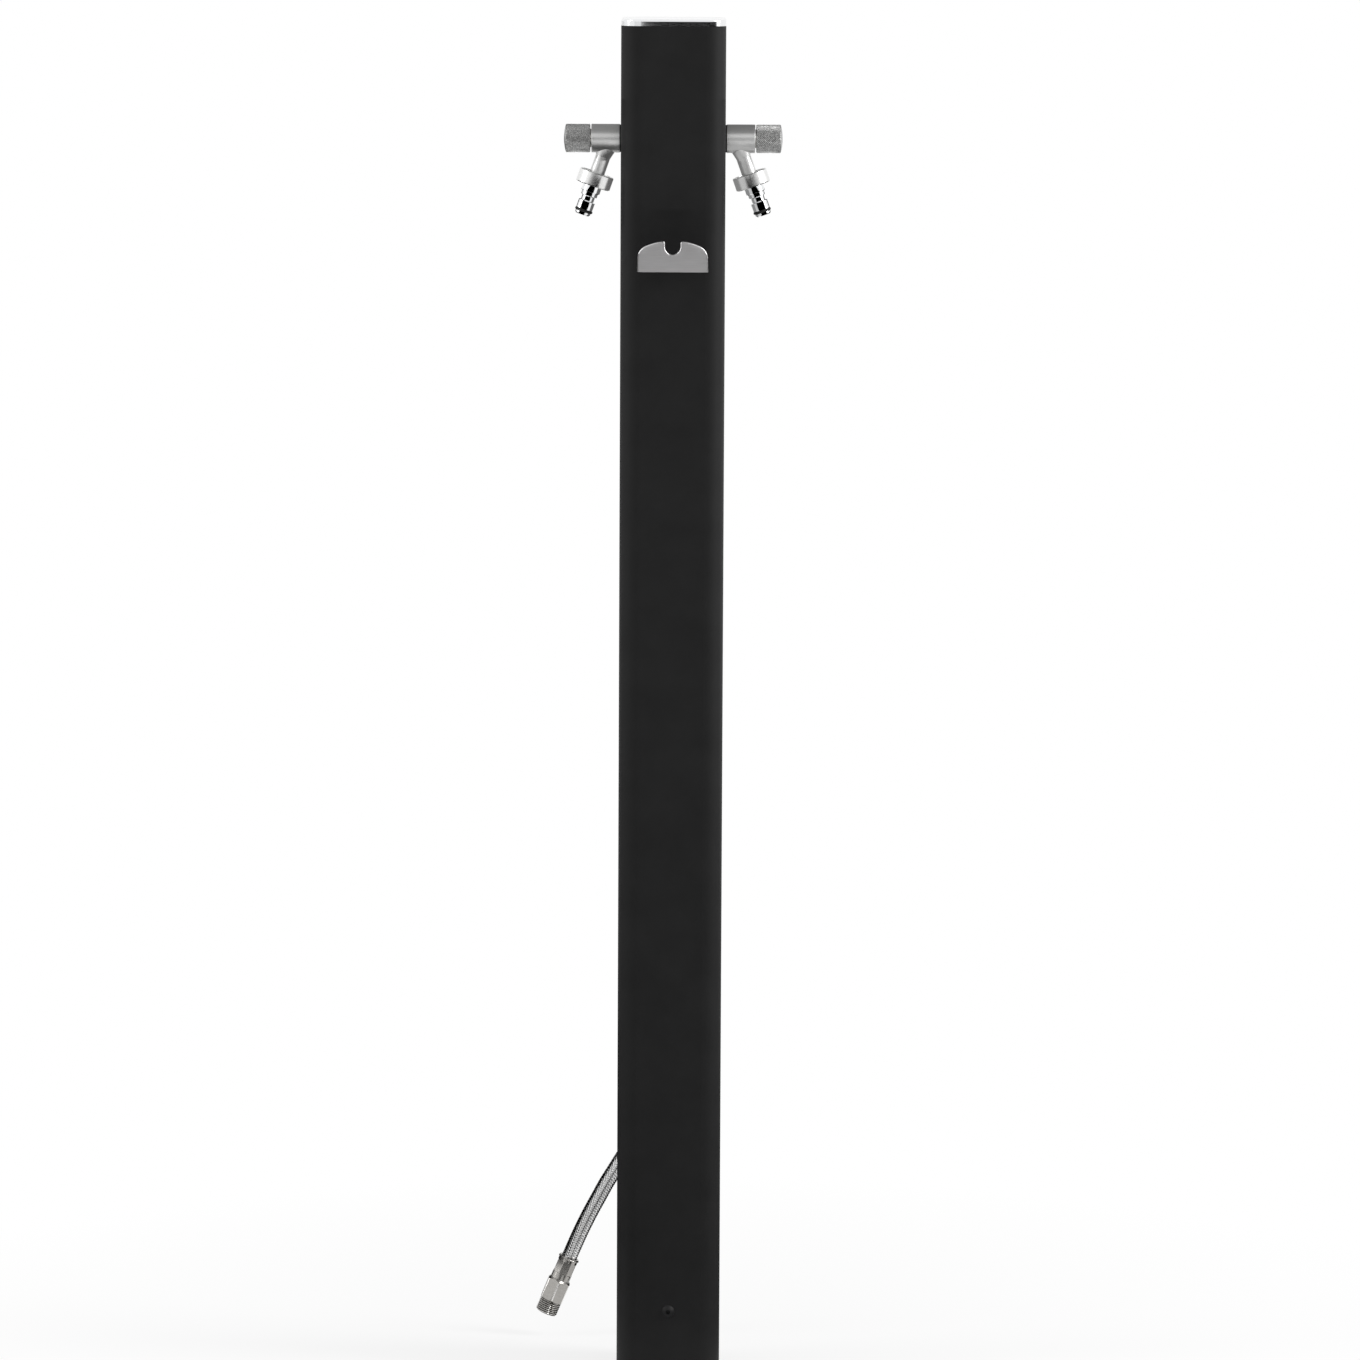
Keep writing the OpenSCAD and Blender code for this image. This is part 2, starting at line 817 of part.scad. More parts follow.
module fixed_disc(side) {
    color("#f1efe9")
        on_tap(side)
            ported_disc(fixed_disc_start, valve_turn);
}

// Two tangs of the driver sit in notches at the back of the turning disc
module driver_tangs(gap) {
    for (sy = [-1, 1])
        translate([driver_start - tang_h - gap, -tang_w / 2 - gap, -tang_w / 2 - gap])
            translate([0, sy * (disc_d / 2 - tang_w / 2), 0])
                cube([tang_h + gap + overlap, tang_w + 2 * gap, tang_w + 2 * gap]);
}

module turning_disc(side) {
    color("#f1efe9")
        on_tap(side)
            difference() {
                ported_disc(turning_disc_start, 0);
                driver_tangs(thread_fit);
            }
}

module flatted_rod(gap, from, to) {
    intersection() {
        turned_x()
            section(0, spindle_d + 2 * gap, from, to);
        translate([from, -spindle_d, -spindle_flats / 2 - gap])
            cube([to - from, 2 * spindle_d, spindle_flats + 2 * gap]);
    }
}

module spindle(side) {
    driver_d = disc_d - 2 * thread_fit;
    color("#c2a76b")
        on_tap(side) {
            intersection() {
                driver_tangs(0);
                turned_x()
                    section(0, driver_d, driver_start - tang_h, driver_end);
            }
            turned_x() {
                section(0, driver_d, driver_start, driver_end);
                section(0, spindle_d, driver_end - overlap, ring_start);
                section(0, ring_groove_d, ring_start - overlap, ring_start + ring_section + overlap);
                section(0, spindle_d, ring_start + ring_section, clip_start);
                section(0, clip_groove_d, clip_start - overlap, clip_start + clip_t + overlap);
                section(0, spindle_d, clip_start + clip_t, hub_start);
            }
            for (half = [0, 180])
                rotate([0, 90, 0])
                    rotate([0, 0, half - valve_turn / 2 - stop_lug_angle / 2])
                        rotate_extrude(angle = stop_lug_angle)
                            section(
                                driver_d - 2 * overlap, cage_d,
                                driver_start + slip_fit, driver_end - slip_fit
                            );
            flatted_rod(0, hub_start - overlap, spindle_end);
        }
}

module spindle_o_ring(side) {
    ring_r = spindle_d / 2 - ring_section / 2;
    color("#222222")
        on_tap(side)
            turned_x()
                translate([ring_r, ring_start + ring_section / 2])
                    circle(d = ring_section - running_fit);
}

module spindle_clip(side) {
    clip_angle = 300;
    color("#5e6063")
        on_tap(side)
            rotate([0, 90, 0])
                rotate_extrude(angle = clip_angle)
                    section(
                        clip_groove_d + 2 * thread_fit, clip_d,
                        clip_start, clip_start + clip_t - thread_fit
                    );
}

// Tap knobs
module knob_section() {
    dome_base_r = knob_d / 2 - knob_edge;
    dome_r = (pow(dome_base_r, 2) + pow(knob_dome, 2)) / (2 * knob_dome);
    chamfered_section(0, knob_d, knob_start, knob_end - knob_dome, knob_edge);
    intersection() {
        translate([0, knob_end - dome_r])
            circle(dome_r);
        section(0, 2 * dome_base_r, knob_end - 2 * knob_dome, knob_end);
    }
}

module knob(side) {
    color("#8f8f8d")
        on_tap(side)
            difference() {
                turned_x()
                    knob_section();
                turned_x()
                    section(0, knob_hollow_d, knob_start - overlap, hub_start);
                flatted_rod(thread_fit, hub_start - overlap, hub_end);
                grub_place()
                    cylinder(h = knob_d / 2, d = grub_d + 2 * thread_fit);
            }
}

// The grub screw stands on the lower flat of the spindle, in the middle of the hub
module grub_place() {
    translate([(hub_start + hub_end) / 2, 0, 0])
        rotate([180, 0, 0])
            children();
}

module grub_screw(side) {
    grub_start = spindle_flats / 2 + thread_fit;
    grub_end = knob_d / 2 - grub_recess;
    color("#4a4b4d")
        on_tap(side)
            grub_place()
                difference() {
                    translate([0, 0, grub_start])
                        cylinder(h = grub_end - grub_start, d = grub_d);
                    translate([0, 0, grub_end - grub_key])
                        linear_extrude(2 * grub_key)
                            hexagon(grub_key);
                }
}

// Spout nuts and hose nipples
module spout_nut(side) {
    color("#b9b9b8")
        on_tap(side)
            along_spout()
                rotate_extrude()
                    difference() {
                        chamfered_section(0, nut_d, spout_reach, nut_end, nut_edge);
                        section(0, spigot_d + 2 * thread_fit, spout_reach - overlap, flange_end);
                        section(0, nipple_collar_d + 2 * slip_fit, flange_end - overlap, nut_end + overlap);
                    }
}

module nipple_washer(side) {
    color("#1e1e1e")
        on_tap(side)
            along_spout()
                rotate_extrude()
                    section(spout_bore_d, flange_d, spigot_end, flange_start);
}

module hose_nipple(side) {
    slope = 0.7;
    edge = 0.5;
    color("#dcdddd")
        on_tap(side)
            along_spout()
                rotate_extrude()
                    polygon([
                        [nipple_bore_d / 2, flange_start], [flange_d / 2, flange_start],
                        [flange_d / 2, flange_end], [nipple_collar_d / 2 - slip_fit, flange_end],
                        [nipple_collar_d / 2 - slip_fit, collar_start], [nipple_collar_d / 2, collar_start],
                        [nipple_collar_d / 2, collar_end - edge], [nipple_collar_d / 2 - edge, collar_end],
                        [nipple_step_d / 2, collar_end], [nipple_step_d / 2, step_end],
                        [nipple_waist_d / 2, step_end + slope], [nipple_waist_d / 2, waist_end - slope],
                        [nipple_barrel_d / 2, waist_end], [nipple_barrel_d / 2, barrel_end],
                        [o_ring_groove_d / 2, barrel_end], [o_ring_groove_d / 2, tip_start],
                        [nipple_tip_d / 2, tip_start], [nipple_tip_d / 2, tip_end - 2 * edge],
                        [nipple_tip_d / 2 - 2 * edge, tip_end], [nipple_bore_d / 2, tip_end],
                    ]);
}

module nipple_o_ring(side) {
    color("#161616")
        on_tap(side)
            along_spout()
                rotate_extrude()
                    translate([o_ring_d / 2 - o_ring_section / 2, barrel_end + groove_w / 2])
                        circle(d = o_ring_section);
}

// Inlet tee and the hose inside the column
module inlet_tee() {
    port_end = column_w / 2 + tail_end - fibre_washer_t;
    tee_edge = 1;
    color("#c7a14a")
        translate([0, 0, tap_z])
            difference() {
                union() {
                    turned_x()
                        chamfered_section(0, tee_d, -tee_half, tee_half, tee_edge);
                    rotate([180, 0, 0])
                        cylinder(h = stub_end, d = tap_tail_d);
                }
                turned_x() {
                    section(0, tee_bore_d, -tee_half - overlap, tee_half + overlap);
                    section(0, tap_tail_d + 2 * thread_fit, port_end, tee_half + overlap);
                    section(0, tap_tail_d + 2 * thread_fit, -tee_half - overlap, -port_end);
                }
                rotate([180, 0, 0])
                    cylinder(h = stub_end + overlap, d = tee_bore_d);
            }
}

module hose_nut() {
    color("#c9cacb")
        below_tee()
            difference() {
                translate([0, 0, hose_nut_start])
                    linear_extrude(hose_nut_end - hose_nut_start)
                        hexagon(hose_nut_flats);
                rotate_extrude() {
                    section(0, tap_tail_d + 2 * thread_fit, hose_nut_start - overlap, hose_flange_end);
                    section(0, hose_tail_d + 2 * slip_fit, hose_flange_end - overlap, hose_nut_end + overlap);
                }
            }
}

module hose_nut_washer() {
    color("#7d2f22")
        below_tee()
            rotate_extrude()
                section(hose_bore_d, tap_tail_d - 2 * slip_fit, stub_end, hose_flange_start);
}

module hose_tail() {
    color("#c9cacb")
        below_tee()
            rotate_extrude() {
                section(hose_bore_d, tap_tail_d - 2 * slip_fit, hose_flange_start, hose_flange_end);
                section(hose_bore_d, hose_tail_d, hose_flange_end - overlap, hose_top);
            }
}

// A sleeve with a rolled rim, pressed onto the hose by a ring of flat crimps
module ferrule_shell(start, mouth_d) {
    rim_t = 3;
    crimp_inset = 2;
    crimp_start = start + ferrule_floor_t + 2 * crimp_inset;
    crimp_end = start + ferrule_len - rim_t - crimp_inset;
    difference() {
        rotate_extrude() {
            section(mouth_d + 2 * slip_fit, ferrule_d, start, start + ferrule_floor_t);
            section(
                hose_d + 2 * thread_fit, ferrule_d,
                start + ferrule_floor_t - overlap, start + ferrule_len
            );
            translate([ferrule_d / 2, start + ferrule_len - rim_t / 2])
                circle(d = rim_t / 2);
        }
        for (i = [0 : crimp_count - 1])
            rotate([0, 0, 360 / crimp_count * i])
                translate([ferrule_d / 2 - crimp_depth, -ferrule_d, crimp_start])
                    cube([ferrule_d, 2 * ferrule_d, crimp_end - crimp_start]);
    }
}

module upper_ferrule() {
    color("#c9cacb")
        below_tee()
            ferrule_shell(upper_ferrule_start, hose_tail_d);
}

module inner_hose() {
    color("#8d8f91")
        swept_tube(inner_route, hose_d, hose_sides, [1, 0, 0]);
}

// Grommet and the free stretch of the hose
module hose_grommet() {
    color("#202021")
        rear_face(hose_exit_z)
            rotate_extrude() {
                bore = hose_d + 2 * thread_fit;
                section(bore, grommet_d, 0, grommet_flange_t);
                section(bore, bore + 2 * grommet_wall - 2 * thread_fit, -column_wall - overlap, overlap);
                section(bore, grommet_d, -column_wall - grommet_flange_t, -column_wall);
            }
}

module supply_hose() {
    color("#8d8f91")
        swept_tube(free_route, hose_d, hose_sides, [-12, 0, 5]);
}

module lower_ferrule() {
    color("#c9cacb")
        at_hose_end()
            rotate([180, 0, 0])
                ferrule_shell(-ferrule_floor_t, hose_tail_d);
}

module hose_end() {
    hex_start = hose_bead_t;
    hex_end = hex_start + hose_end_hex_len;
    corner_d = hose_end_flats / cos(30);
    hex_edge = corner_d / 2 - hose_end_flats / 2;
    thread_end = hex_end + supply_thread_len;
    thread_edge = 1;
    bead_rise = 0.7;
    bead_gap = 0.2;
    bead_sink = 0.5;
    color("#c9cacb")
        at_hose_end()
            difference() {
                union() {
                    intersection() {
                        translate([0, 0, hex_start])
                            linear_extrude(hose_end_hex_len)
                                hexagon(hose_end_flats);
                        rotate_extrude()
                            chamfered_section(0, corner_d, hex_start, hex_end, hex_edge);
                    }
                    rotate_extrude() {
                        section(
                            0, ferrule_d + 2 * bead_rise,
                            ferrule_floor_t + bead_gap, hex_start + bead_sink
                        );
                        section(0, hose_tail_d, 0, hex_start);
                        chamfered_section(
                            0, supply_thread_d, hex_end - 2 * thread_edge, thread_end, thread_edge
                        );
                    }
                }
                translate([0, 0, hose_stop_t])
                    cylinder(h = thread_end, d = hose_bore_d);
            }
}

column();
top_cap();
ground_socket();
foot_screws();
hook_plate();
hook_stem();
hook_screw();
hook_washer();
inlet_tee();
hose_nut();
hose_nut_washer();
hose_tail();
upper_ferrule();
inner_hose();
hose_grommet();
supply_hose();
lower_ferrule();
hose_end();
for (side = SIDES) {
    tap_body(side);
    wall_washer(side);
    tail_washer(side);
    seat_seal(side);
    cartridge(side);
    fixed_disc(side);
    turning_disc(side);
    spindle(side);
    spindle_o_ring(side);
    spindle_clip(side);
    knob(side);
    grub_screw(side);
    spout_nut(side);
    nipple_washer(side);
    hose_nipple(side);
    nipple_o_ring(side);
}
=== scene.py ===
"""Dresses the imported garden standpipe: camera, studio, braided hose, knurled knobs and materials.

Lengths are metres in the shared frame: +Z is up, +X is to the right and the front faces -Y.
"""

import json
import math
from dataclasses import dataclass

import bmesh
import bpy
import numpy as np
from mathutils import Matrix, Vector


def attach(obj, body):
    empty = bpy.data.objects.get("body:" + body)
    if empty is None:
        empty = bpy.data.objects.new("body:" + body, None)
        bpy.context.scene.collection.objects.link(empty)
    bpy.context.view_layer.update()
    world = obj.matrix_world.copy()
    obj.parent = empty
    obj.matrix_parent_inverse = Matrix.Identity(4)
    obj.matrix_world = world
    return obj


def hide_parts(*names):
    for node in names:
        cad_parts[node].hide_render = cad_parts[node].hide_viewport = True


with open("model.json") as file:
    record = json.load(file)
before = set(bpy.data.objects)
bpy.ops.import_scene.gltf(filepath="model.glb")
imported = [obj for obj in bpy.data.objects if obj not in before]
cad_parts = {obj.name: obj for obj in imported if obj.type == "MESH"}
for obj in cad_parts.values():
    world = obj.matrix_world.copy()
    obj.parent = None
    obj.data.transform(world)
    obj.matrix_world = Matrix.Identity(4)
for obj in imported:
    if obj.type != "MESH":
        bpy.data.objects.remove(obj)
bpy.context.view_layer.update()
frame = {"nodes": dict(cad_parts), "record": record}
nodes = frame["nodes"]

MM = 0.001
FIXED_BODY = "standpipe"

# Camera
IMAGE_PIXELS = 1360
FOCAL_PIXELS = 6674
SENSOR_WIDTH_MM = 36
CAMERA_PLACE = Vector((0.0084, -6.0838, 1.4153))
CAMERA_PITCH = math.radians(7.22)
CAMERA_ROLL = math.radians(0.27)
CAMERA_REACH = 100


def add_camera():
    """The photo's camera: a long lens in front of the column, tipped down a little."""
    data = bpy.data.cameras.new("camera")
    data.sensor_width = SENSOR_WIDTH_MM
    data.lens = SENSOR_WIDTH_MM * FOCAL_PIXELS / IMAGE_PIXELS
    data.clip_end = CAMERA_REACH
    camera = bpy.data.objects.new("camera", data)
    bpy.context.collection.objects.link(camera)
    camera.matrix_world = (
        Matrix.Translation(CAMERA_PLACE)
        @ Matrix.Rotation(math.pi / 2 - CAMERA_PITCH, 4, "X")
        @ Matrix.Rotation(CAMERA_ROLL, 4, "Z")
    )
    bpy.context.scene.camera = camera


# Mesh helpers
WELD_DISTANCE = 1e-7


def mesh_object(name, vertices, faces, sharp_degrees=35):
    """A new object with those faces, smooth except over edges sharper than sharp_degrees."""
    mesh = bpy.data.meshes.new(name)
    mesh.from_pydata([tuple(vertex) for vertex in vertices], [], faces)
    shape = bmesh.new()
    shape.from_mesh(mesh)
    bmesh.ops.remove_doubles(shape, verts=shape.verts, dist=WELD_DISTANCE)
    bmesh.ops.recalc_face_normals(shape, faces=shape.faces)
    shape.to_mesh(mesh)
    shape.free()
    mesh.polygons.foreach_set("use_smooth", [True] * len(mesh.polygons))
    mesh.set_sharp_from_angle(angle=math.radians(sharp_degrees))
    piece = bpy.data.objects.new(name, mesh)
    bpy.context.collection.objects.link(piece)
    return piece


def ring_faces(rings, sides, closed=True):
    """Quads between neighbouring rings of points. Rings that aren't closed make an open strip."""
    steps = sides if closed else sides - 1
    faces = []
    for ring in range(rings - 1):
        for side in range(steps):
            here = ring * sides + side
            beside = ring * sides + (side + 1) % sides
            faces.append((here, beside, beside + sides, here + sides))
    return faces


def turned_rings(rows, sides):
    """Points of rings round +Z. Each row is a height and a radius, or a radius for every side."""
    angles = np.arange(sides) * 2 * np.pi / sides
    points = []
    for height, radius in rows:
        radii = np.broadcast_to(radius, (sides,))
        heights = np.full(sides, height)
        points.append(np.column_stack([radii * np.cos(angles), radii * np.sin(angles), heights]))
    return np.vstack(points)


def placed(points, matrix):
    """The points moved by a 4x4 matrix."""
    turn = np.array(matrix.to_3x3())
    return points @ turn.T + np.array(matrix.translation)


def arc(centre, radius, start, end, steps):
    """Points of a flat arc, in degrees, both ends included."""
    x, y = centre
    angles = np.radians(np.linspace(start, end, steps + 1))
    return [(x + radius * math.cos(angle), y + radius * math.sin(angle)) for angle in angles]


# Supply hose: the free stretch from the grommet to the lower ferrule
HOSE_EXIT = np.array([0, 49.5, 235]) * MM
HOSE_POINTS = np.array([
    [0, 0, 0], [0, 12, 0], [0, 24, 0], [-1, 40, -2], [-5, 54, -7], [-10, 66, -14], [-17, 76, -25],
    [-25, 82, -37], [-34, 84, -49], [-43, 84, -62], [-51, 84, -75], [-59, 84, -88], [-66, 84, -101],
    [-73, 84, -114], [-80, 84, -128], [-86, 84, -141], [-92, 84, -155], [-97, 84, -167], [-102, 84, -179],
]) * MM
HOSE_DIAMETER = 15 * MM
HOSE_STEP = 0.5 * MM
CURVE_STEPS = 40
TUBE_STEP = 2 * MM
TUBE_SIDES = 48
BRAID_STEP = 1 * MM
BRAID_CARRIERS = 12
BRAID_ANGLE = math.radians(54)
BRAID_COVER = 0.82
BRAID_RISE = 0.3 * MM
BRAID_CROWN = 0.16 * MM
WIRES_PER_CARRIER = 4
WIRE_RISE = 0.06 * MM


def smooth_route(points, step):
    """A Catmull-Rom curve through the points, resampled at about equal steps, and its length."""
    ends = np.vstack([2 * points[0] - points[1], points, 2 * points[-1] - points[-2]])
    dense = []
    for i in range(1, len(ends) - 2):
        p0, p1, p2, p3 = ends[i - 1 : i + 3]
        for t in np.linspace(0, 1, CURVE_STEPS, endpoint=False):
            dense.append(
                0.5 * (2 * p1 + (p2 - p0) * t + (2 * p0 - 5 * p1 + 4 * p2 - p3) * t**2
                       + (3 * p1 - p0 - 3 * p2 + p3) * t**3)
            )
    dense.append(points[-1])
    dense = np.array(dense)
    along = np.concatenate([[0], np.cumsum(np.linalg.norm(np.diff(dense, axis=0), axis=1))])
    count = round(along[-1] / step) + 1
    wanted = np.linspace(0, along[-1], count)
    return np.column_stack([np.interp(wanted, along, dense[:, axis]) for axis in range(3)]), along[-1]


def frames_along(route):
    """Two unit vectors across the route at each of its points, carried along it without twist."""
    ways = np.gradient(route, axis=0)
    ways /= np.linalg.norm(ways, axis=1)[:, None]
    across = np.array([1.0, 0.0, 0.0])
    first, second = [], []
    for way in ways:
        across = across - way * (across @ way)
        across /= np.linalg.norm(across)
        first.append(across)
        second.append(np.cross(way, across))
    return np.array(first), np.array(second)


class Route:
    """Turns a distance along the hose, an angle round it and a radius into a point."""

    def __init__(self, points, step):
        self.points, self.length = smooth_route(points, step)
        self.first, self.second = frames_along(self.points)
        self.marks = np.linspace(0, self.length, len(self.points))

    def at(self, along, angle, radius):
        """The points at distances along the hose, angles round it and radii from its middle."""
        along = np.clip(along, 0, self.length)
        centre = self.sample(self.points, along)
        first = self.sample(self.first, along)
        second = self.sample(self.second, along)
        outward = np.cos(angle)[:, None] * first + np.sin(angle)[:, None] * second
        return centre + outward * np.broadcast_to(radius, along.shape)[:, None]

    def sample(self, values, along):
        """Vectors that are known at the route's points, read at other distances along it."""
        return np.column_stack([np.interp(along, self.marks, values[:, axis]) for axis in range(3)])


def braid_ribbon(route, carrier, way):
    """One flat bundle of wires wound round the hose, two over and two under the bundles it crosses."""
    middle_radius = HOSE_DIAMETER / 2 - BRAID_RISE - BRAID_CROWN - WIRE_RISE
    lead = 2 * math.pi * middle_radius / math.tan(BRAID_ANGLE)
    width = 2 * math.pi * middle_radius * math.cos(BRAID_ANGLE) / BRAID_CARRIERS * BRAID_COVER
    offsets = np.linspace(-width / 2, width / 2, 2 * WIRES_PER_CARRIER + 1)
    reach = width * math.sin(BRAID_ANGLE)
    distances = np.arange(-reach, route.length + reach, BRAID_STEP)
    rows = []
    for number, offset in enumerate(offsets):
        along = distances - way * offset * math.sin(BRAID_ANGLE)
        turns = carrier / BRAID_CARRIERS + way * distances / lead
        turns = turns + offset * math.cos(BRAID_ANGLE) / (2 * math.pi * middle_radius)
        crossing = BRAID_CARRIERS * (turns + way * along / lead)
        # One rise and fall takes four crossings, which makes two over and two under
        weave = way * np.sin(math.pi / 2 * (crossing + carrier + 0.5))
        crown = BRAID_CROWN * (1 - (2 * offset / width) ** 2)
        radius = middle_radius + BRAID_RISE * weave + crown + WIRE_RISE * (number % 2)
        rows.append(route.at(along, 2 * math.pi * turns, radius))
    grid = np.stack(rows, axis=1)
    return grid.reshape(-1, 3), ring_faces(len(distances), len(offsets), closed=False)


def add_supply_hose():
    """The dark tube and the wire bundles over it, as one mesh."""
    route = Route(HOSE_EXIT + HOSE_POINTS, HOSE_STEP)
    tube_radius = HOSE_DIAMETER / 2 - 2 * BRAID_RISE - BRAID_CROWN - 2 * WIRE_RISE
    marks = np.arange(0, route.length, TUBE_STEP)
    angles = np.tile(np.arange(TUBE_SIDES) * 2 * np.pi / TUBE_SIDES, len(marks))
    parts = [route.at(np.repeat(marks, TUBE_SIDES), angles, tube_radius)]
    faces = ring_faces(len(marks), TUBE_SIDES)
    tube_face_count = len(faces)
    for way in (1, -1):
        for carrier in range(BRAID_CARRIERS):
            points, ribbon_faces = braid_ribbon(route, carrier, way)
            first = sum(len(part) for part in parts)
            parts.append(points)
            faces += [tuple(first + corner for corner in face) for face in ribbon_faces]
    mesh = bpy.data.meshes.new("supply_hose_braid")
    mesh.from_pydata(np.vstack(parts).tolist(), [], faces)
    mesh.polygons.foreach_set("use_smooth", [True] * len(faces))
    finishes = ["hose_braid", "rubber_black"]
    for finish in finishes:
        mesh.materials.append(materials[finish])
    face_finishes = ["rubber_black"] * tube_face_count + ["hose_braid"] * (len(faces) - tube_face_count)
    mesh.polygons.foreach_set("material_index", [finishes.index(finish) for finish in face_finishes])
    hose = bpy.data.objects.new("supply_hose_braid", mesh)
    bpy.context.collection.objects.link(hose)
    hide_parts("supply_hose")
    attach(hose, FIXED_BODY)
    return hose, route


# Lower end of the hose: bead, hexagon and pipe thread round the hose's last direction
END_POINT = HOSE_EXIT + HOSE_POINTS[-1]
END_WAY = Vector(HOSE_POINTS[-1] - HOSE_POINTS[-2]).normalized()
END_SIDES = 180
END_NECK_RADIUS = 6.5 * MM
END_BEAD_RADIUS = 10 * MM
END_BEAD_START = 2.2 * MM
END_BEAD_EDGE = 0.3 * MM
END_HEX_START = 3 * MM
END_HEX_LENGTH = 21 * MM
END_HEX_FLATS = 21 * MM
END_HEX_CORNER_CUT = 0.35 * MM
END_HEX_CONE_ROWS = 7
# Faces of the hexagon's corners within this depth get a lighter nickel, a painted highlight
END_HEX_HIGHLIGHT_DEPTH = 0.06 * MM
END_BORE_RADIUS = 5 * MM
END_BORE_START = 1 * MM
THREAD_RADIUS = 10.48 * MM
THREAD_LENGTH = 13 * MM
THREAD_PITCH = 1.814 * MM
THREAD_DEPTH = 1.16 * MM
THREAD_ROWS_PER_TURN = 10
# Share of half a pitch that is flat at the crest, and again at the root
THREAD_FLAT = 0.1
# Thread faces within this depth of the crest get a lighter nickel, a painted highlight
THREAD_HIGHLIGHT_DEPTH = 0.3 * MM
# Thread faces deeper than this below the crest get a darker nickel, painted shade in the roots
THREAD_SHADE_DEPTH = 0.75 * MM
THREAD_CHAMFER = 1 * MM
# The fitting's nickel, its painted highlight and its painted shade
END_FINISHES = ("fitting_nickel", "nickel_painted_highlight", "nickel_painted_shade")


def hexagon_radii(flats, sides):
    """The radius of a hexagon at each side's angle, with a corner at angle 0."""
    angles = np.arange(sides) * 2 * np.pi / sides
    from_flat = np.mod(angles, np.pi / 3) - np.pi / 6
    return flats / 2 / np.cos(from_flat)


def thread_rows(start, length, sides):
    """Rows of a right-hand pipe thread with narrow crests, cut down by a chamfer at its end."""
    turns = np.arange(sides) / sides
    steps = round(length / THREAD_PITCH * THREAD_ROWS_PER_TURN)
    rows = []
    for height in np.linspace(0, length, steps + 1):
        phase = np.mod(height / THREAD_PITCH - turns, 1)
        from_crest = np.abs(2 * phase - 1)
        sunk = np.clip((from_crest - THREAD_FLAT) / (1 - 2 * THREAD_FLAT), 0, 1)
        radius = THREAD_RADIUS - THREAD_DEPTH * sunk
        tip_radius = THREAD_RADIUS - max(0, height - (length - THREAD_CHAMFER))
        rows.append((start + height, np.minimum(radius, tip_radius)))
    return rows


def hexagon_rows(start, end, flats, sides):
    """Rows of a hexagon whose corners are turned down by a cone at both ends."""
    hexagon = hexagon_radii(flats, sides)
    hexagon = np.minimum(hexagon, hexagon.max() - END_HEX_CORNER_CUT)
    corner_drop = hexagon.max() - flats / 2
    steps = np.linspace(0, corner_drop, END_HEX_CONE_ROWS)
    rows = [(start + step, np.minimum(hexagon, flats / 2 + step)) for step in steps]
    rows += [(end - step, np.minimum(hexagon, flats / 2 + step)) for step in steps[::-1]]
    return rows


def add_hose_end():
    """The fitting in one mesh, with a painted highlight on its hexagon's corners and thread's crests and
    painted shade in the thread's roots.
    """
    hex_end = END_HEX_START + END_HEX_LENGTH
    thread_end = hex_end + THREAD_LENGTH
    rows = [
        (0, 0),
        (0, END_NECK_RADIUS),
        (END_BEAD_START, END_NECK_RADIUS),
        (END_BEAD_START, END_BEAD_RADIUS - END_BEAD_EDGE),
        (END_BEAD_START + END_BEAD_EDGE, END_BEAD_RADIUS),
        (END_HEX_START, END_BEAD_RADIUS),
    ]
    rows += hexagon_rows(END_HEX_START, hex_end, END_HEX_FLATS, END_SIDES)
    rows += thread_rows(hex_end, THREAD_LENGTH, END_SIDES)
    rows += [(thread_end, END_BORE_RADIUS), (END_BORE_START, END_BORE_RADIUS), (END_BORE_START, 0)]
    front = Vector((0, -1, 0))
    turn = Matrix((front, END_WAY.cross(front), END_WAY)).transposed()
    place = Matrix.Translation(Vector(END_POINT)) @ turn.to_4x4()
    points = placed(turned_rings(rows, END_SIDES), place)
    piece = mesh_object("hose_end_fitting", points, ring_faces(len(rows), END_SIDES), sharp_degrees=25)
    for finish in END_FINISHES:
        piece.data.materials.append(materials[finish])
    hex_highlight_radius = END_HEX_FLATS / math.sqrt(3) - END_HEX_CORNER_CUT - END_HEX_HIGHLIGHT_DEPTH
    to_axis = place.inverted()
    for face in piece.data.polygons:
        middle = to_axis @ face.center
        on_thread = middle.z > hex_end
        painted_highlight_radius = THREAD_RADIUS - THREAD_HIGHLIGHT_DEPTH if on_thread else hex_highlight_radius
        # Faces at the hexagon's corners and the thread's crests get the lighter nickel, a painted highlight
        if middle.xy.length > painted_highlight_radius:
            face.material_index = END_FINISHES.index("nickel_painted_highlight")
        # Faces deep in the thread's roots get the darker nickel, painted shade
        elif on_thread and middle.xy.length < THREAD_RADIUS - THREAD_SHADE_DEPTH:
            face.material_index = END_FINISHES.index("nickel_painted_shade")
    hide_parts("hose_end")
    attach(piece, FIXED_BODY)
    return piece


# Knobs: a cross-knurled grip, a domed end and the hollow that covers the cartridge's neck
TAP_AXIS_Z = 1141 * MM
COLUMN_FACE = 47.5 * MM
KNOB_START = 28 * MM
KNOB_END = 52 * MM
KNOB_RADIUS = 13 * MM
KNOB_EDGE = 0.6 * MM
KNOB_DOME = 1.7 * MM
KNOB_DOME_ROWS = 9
KNOB_HOLLOW_RADIUS = 9.4 * MM
KNOB_HOLLOW_END = 36 * MM
KNURLS_ROUND = 44
KNURL_DEPTH = 0.55 * MM
GRUB_PLACE = 41 * MM
GRUB_HOLE_RADIUS = 2.1 * MM
HOLE_SIDES = 32


def tap_frames():
    """Each side's matrix from the tap axis, along +Z from the column's face, to the shared frame."""
    along_x = Matrix.Rotation(math.pi / 2, 4, "Y")
    right = Matrix.Translation((COLUMN_FACE, 0, TAP_AXIS_Z)) @ along_x
    left = Matrix.Rotation(math.pi, 4, "Z") @ right
    return {"left": left, "right": right}


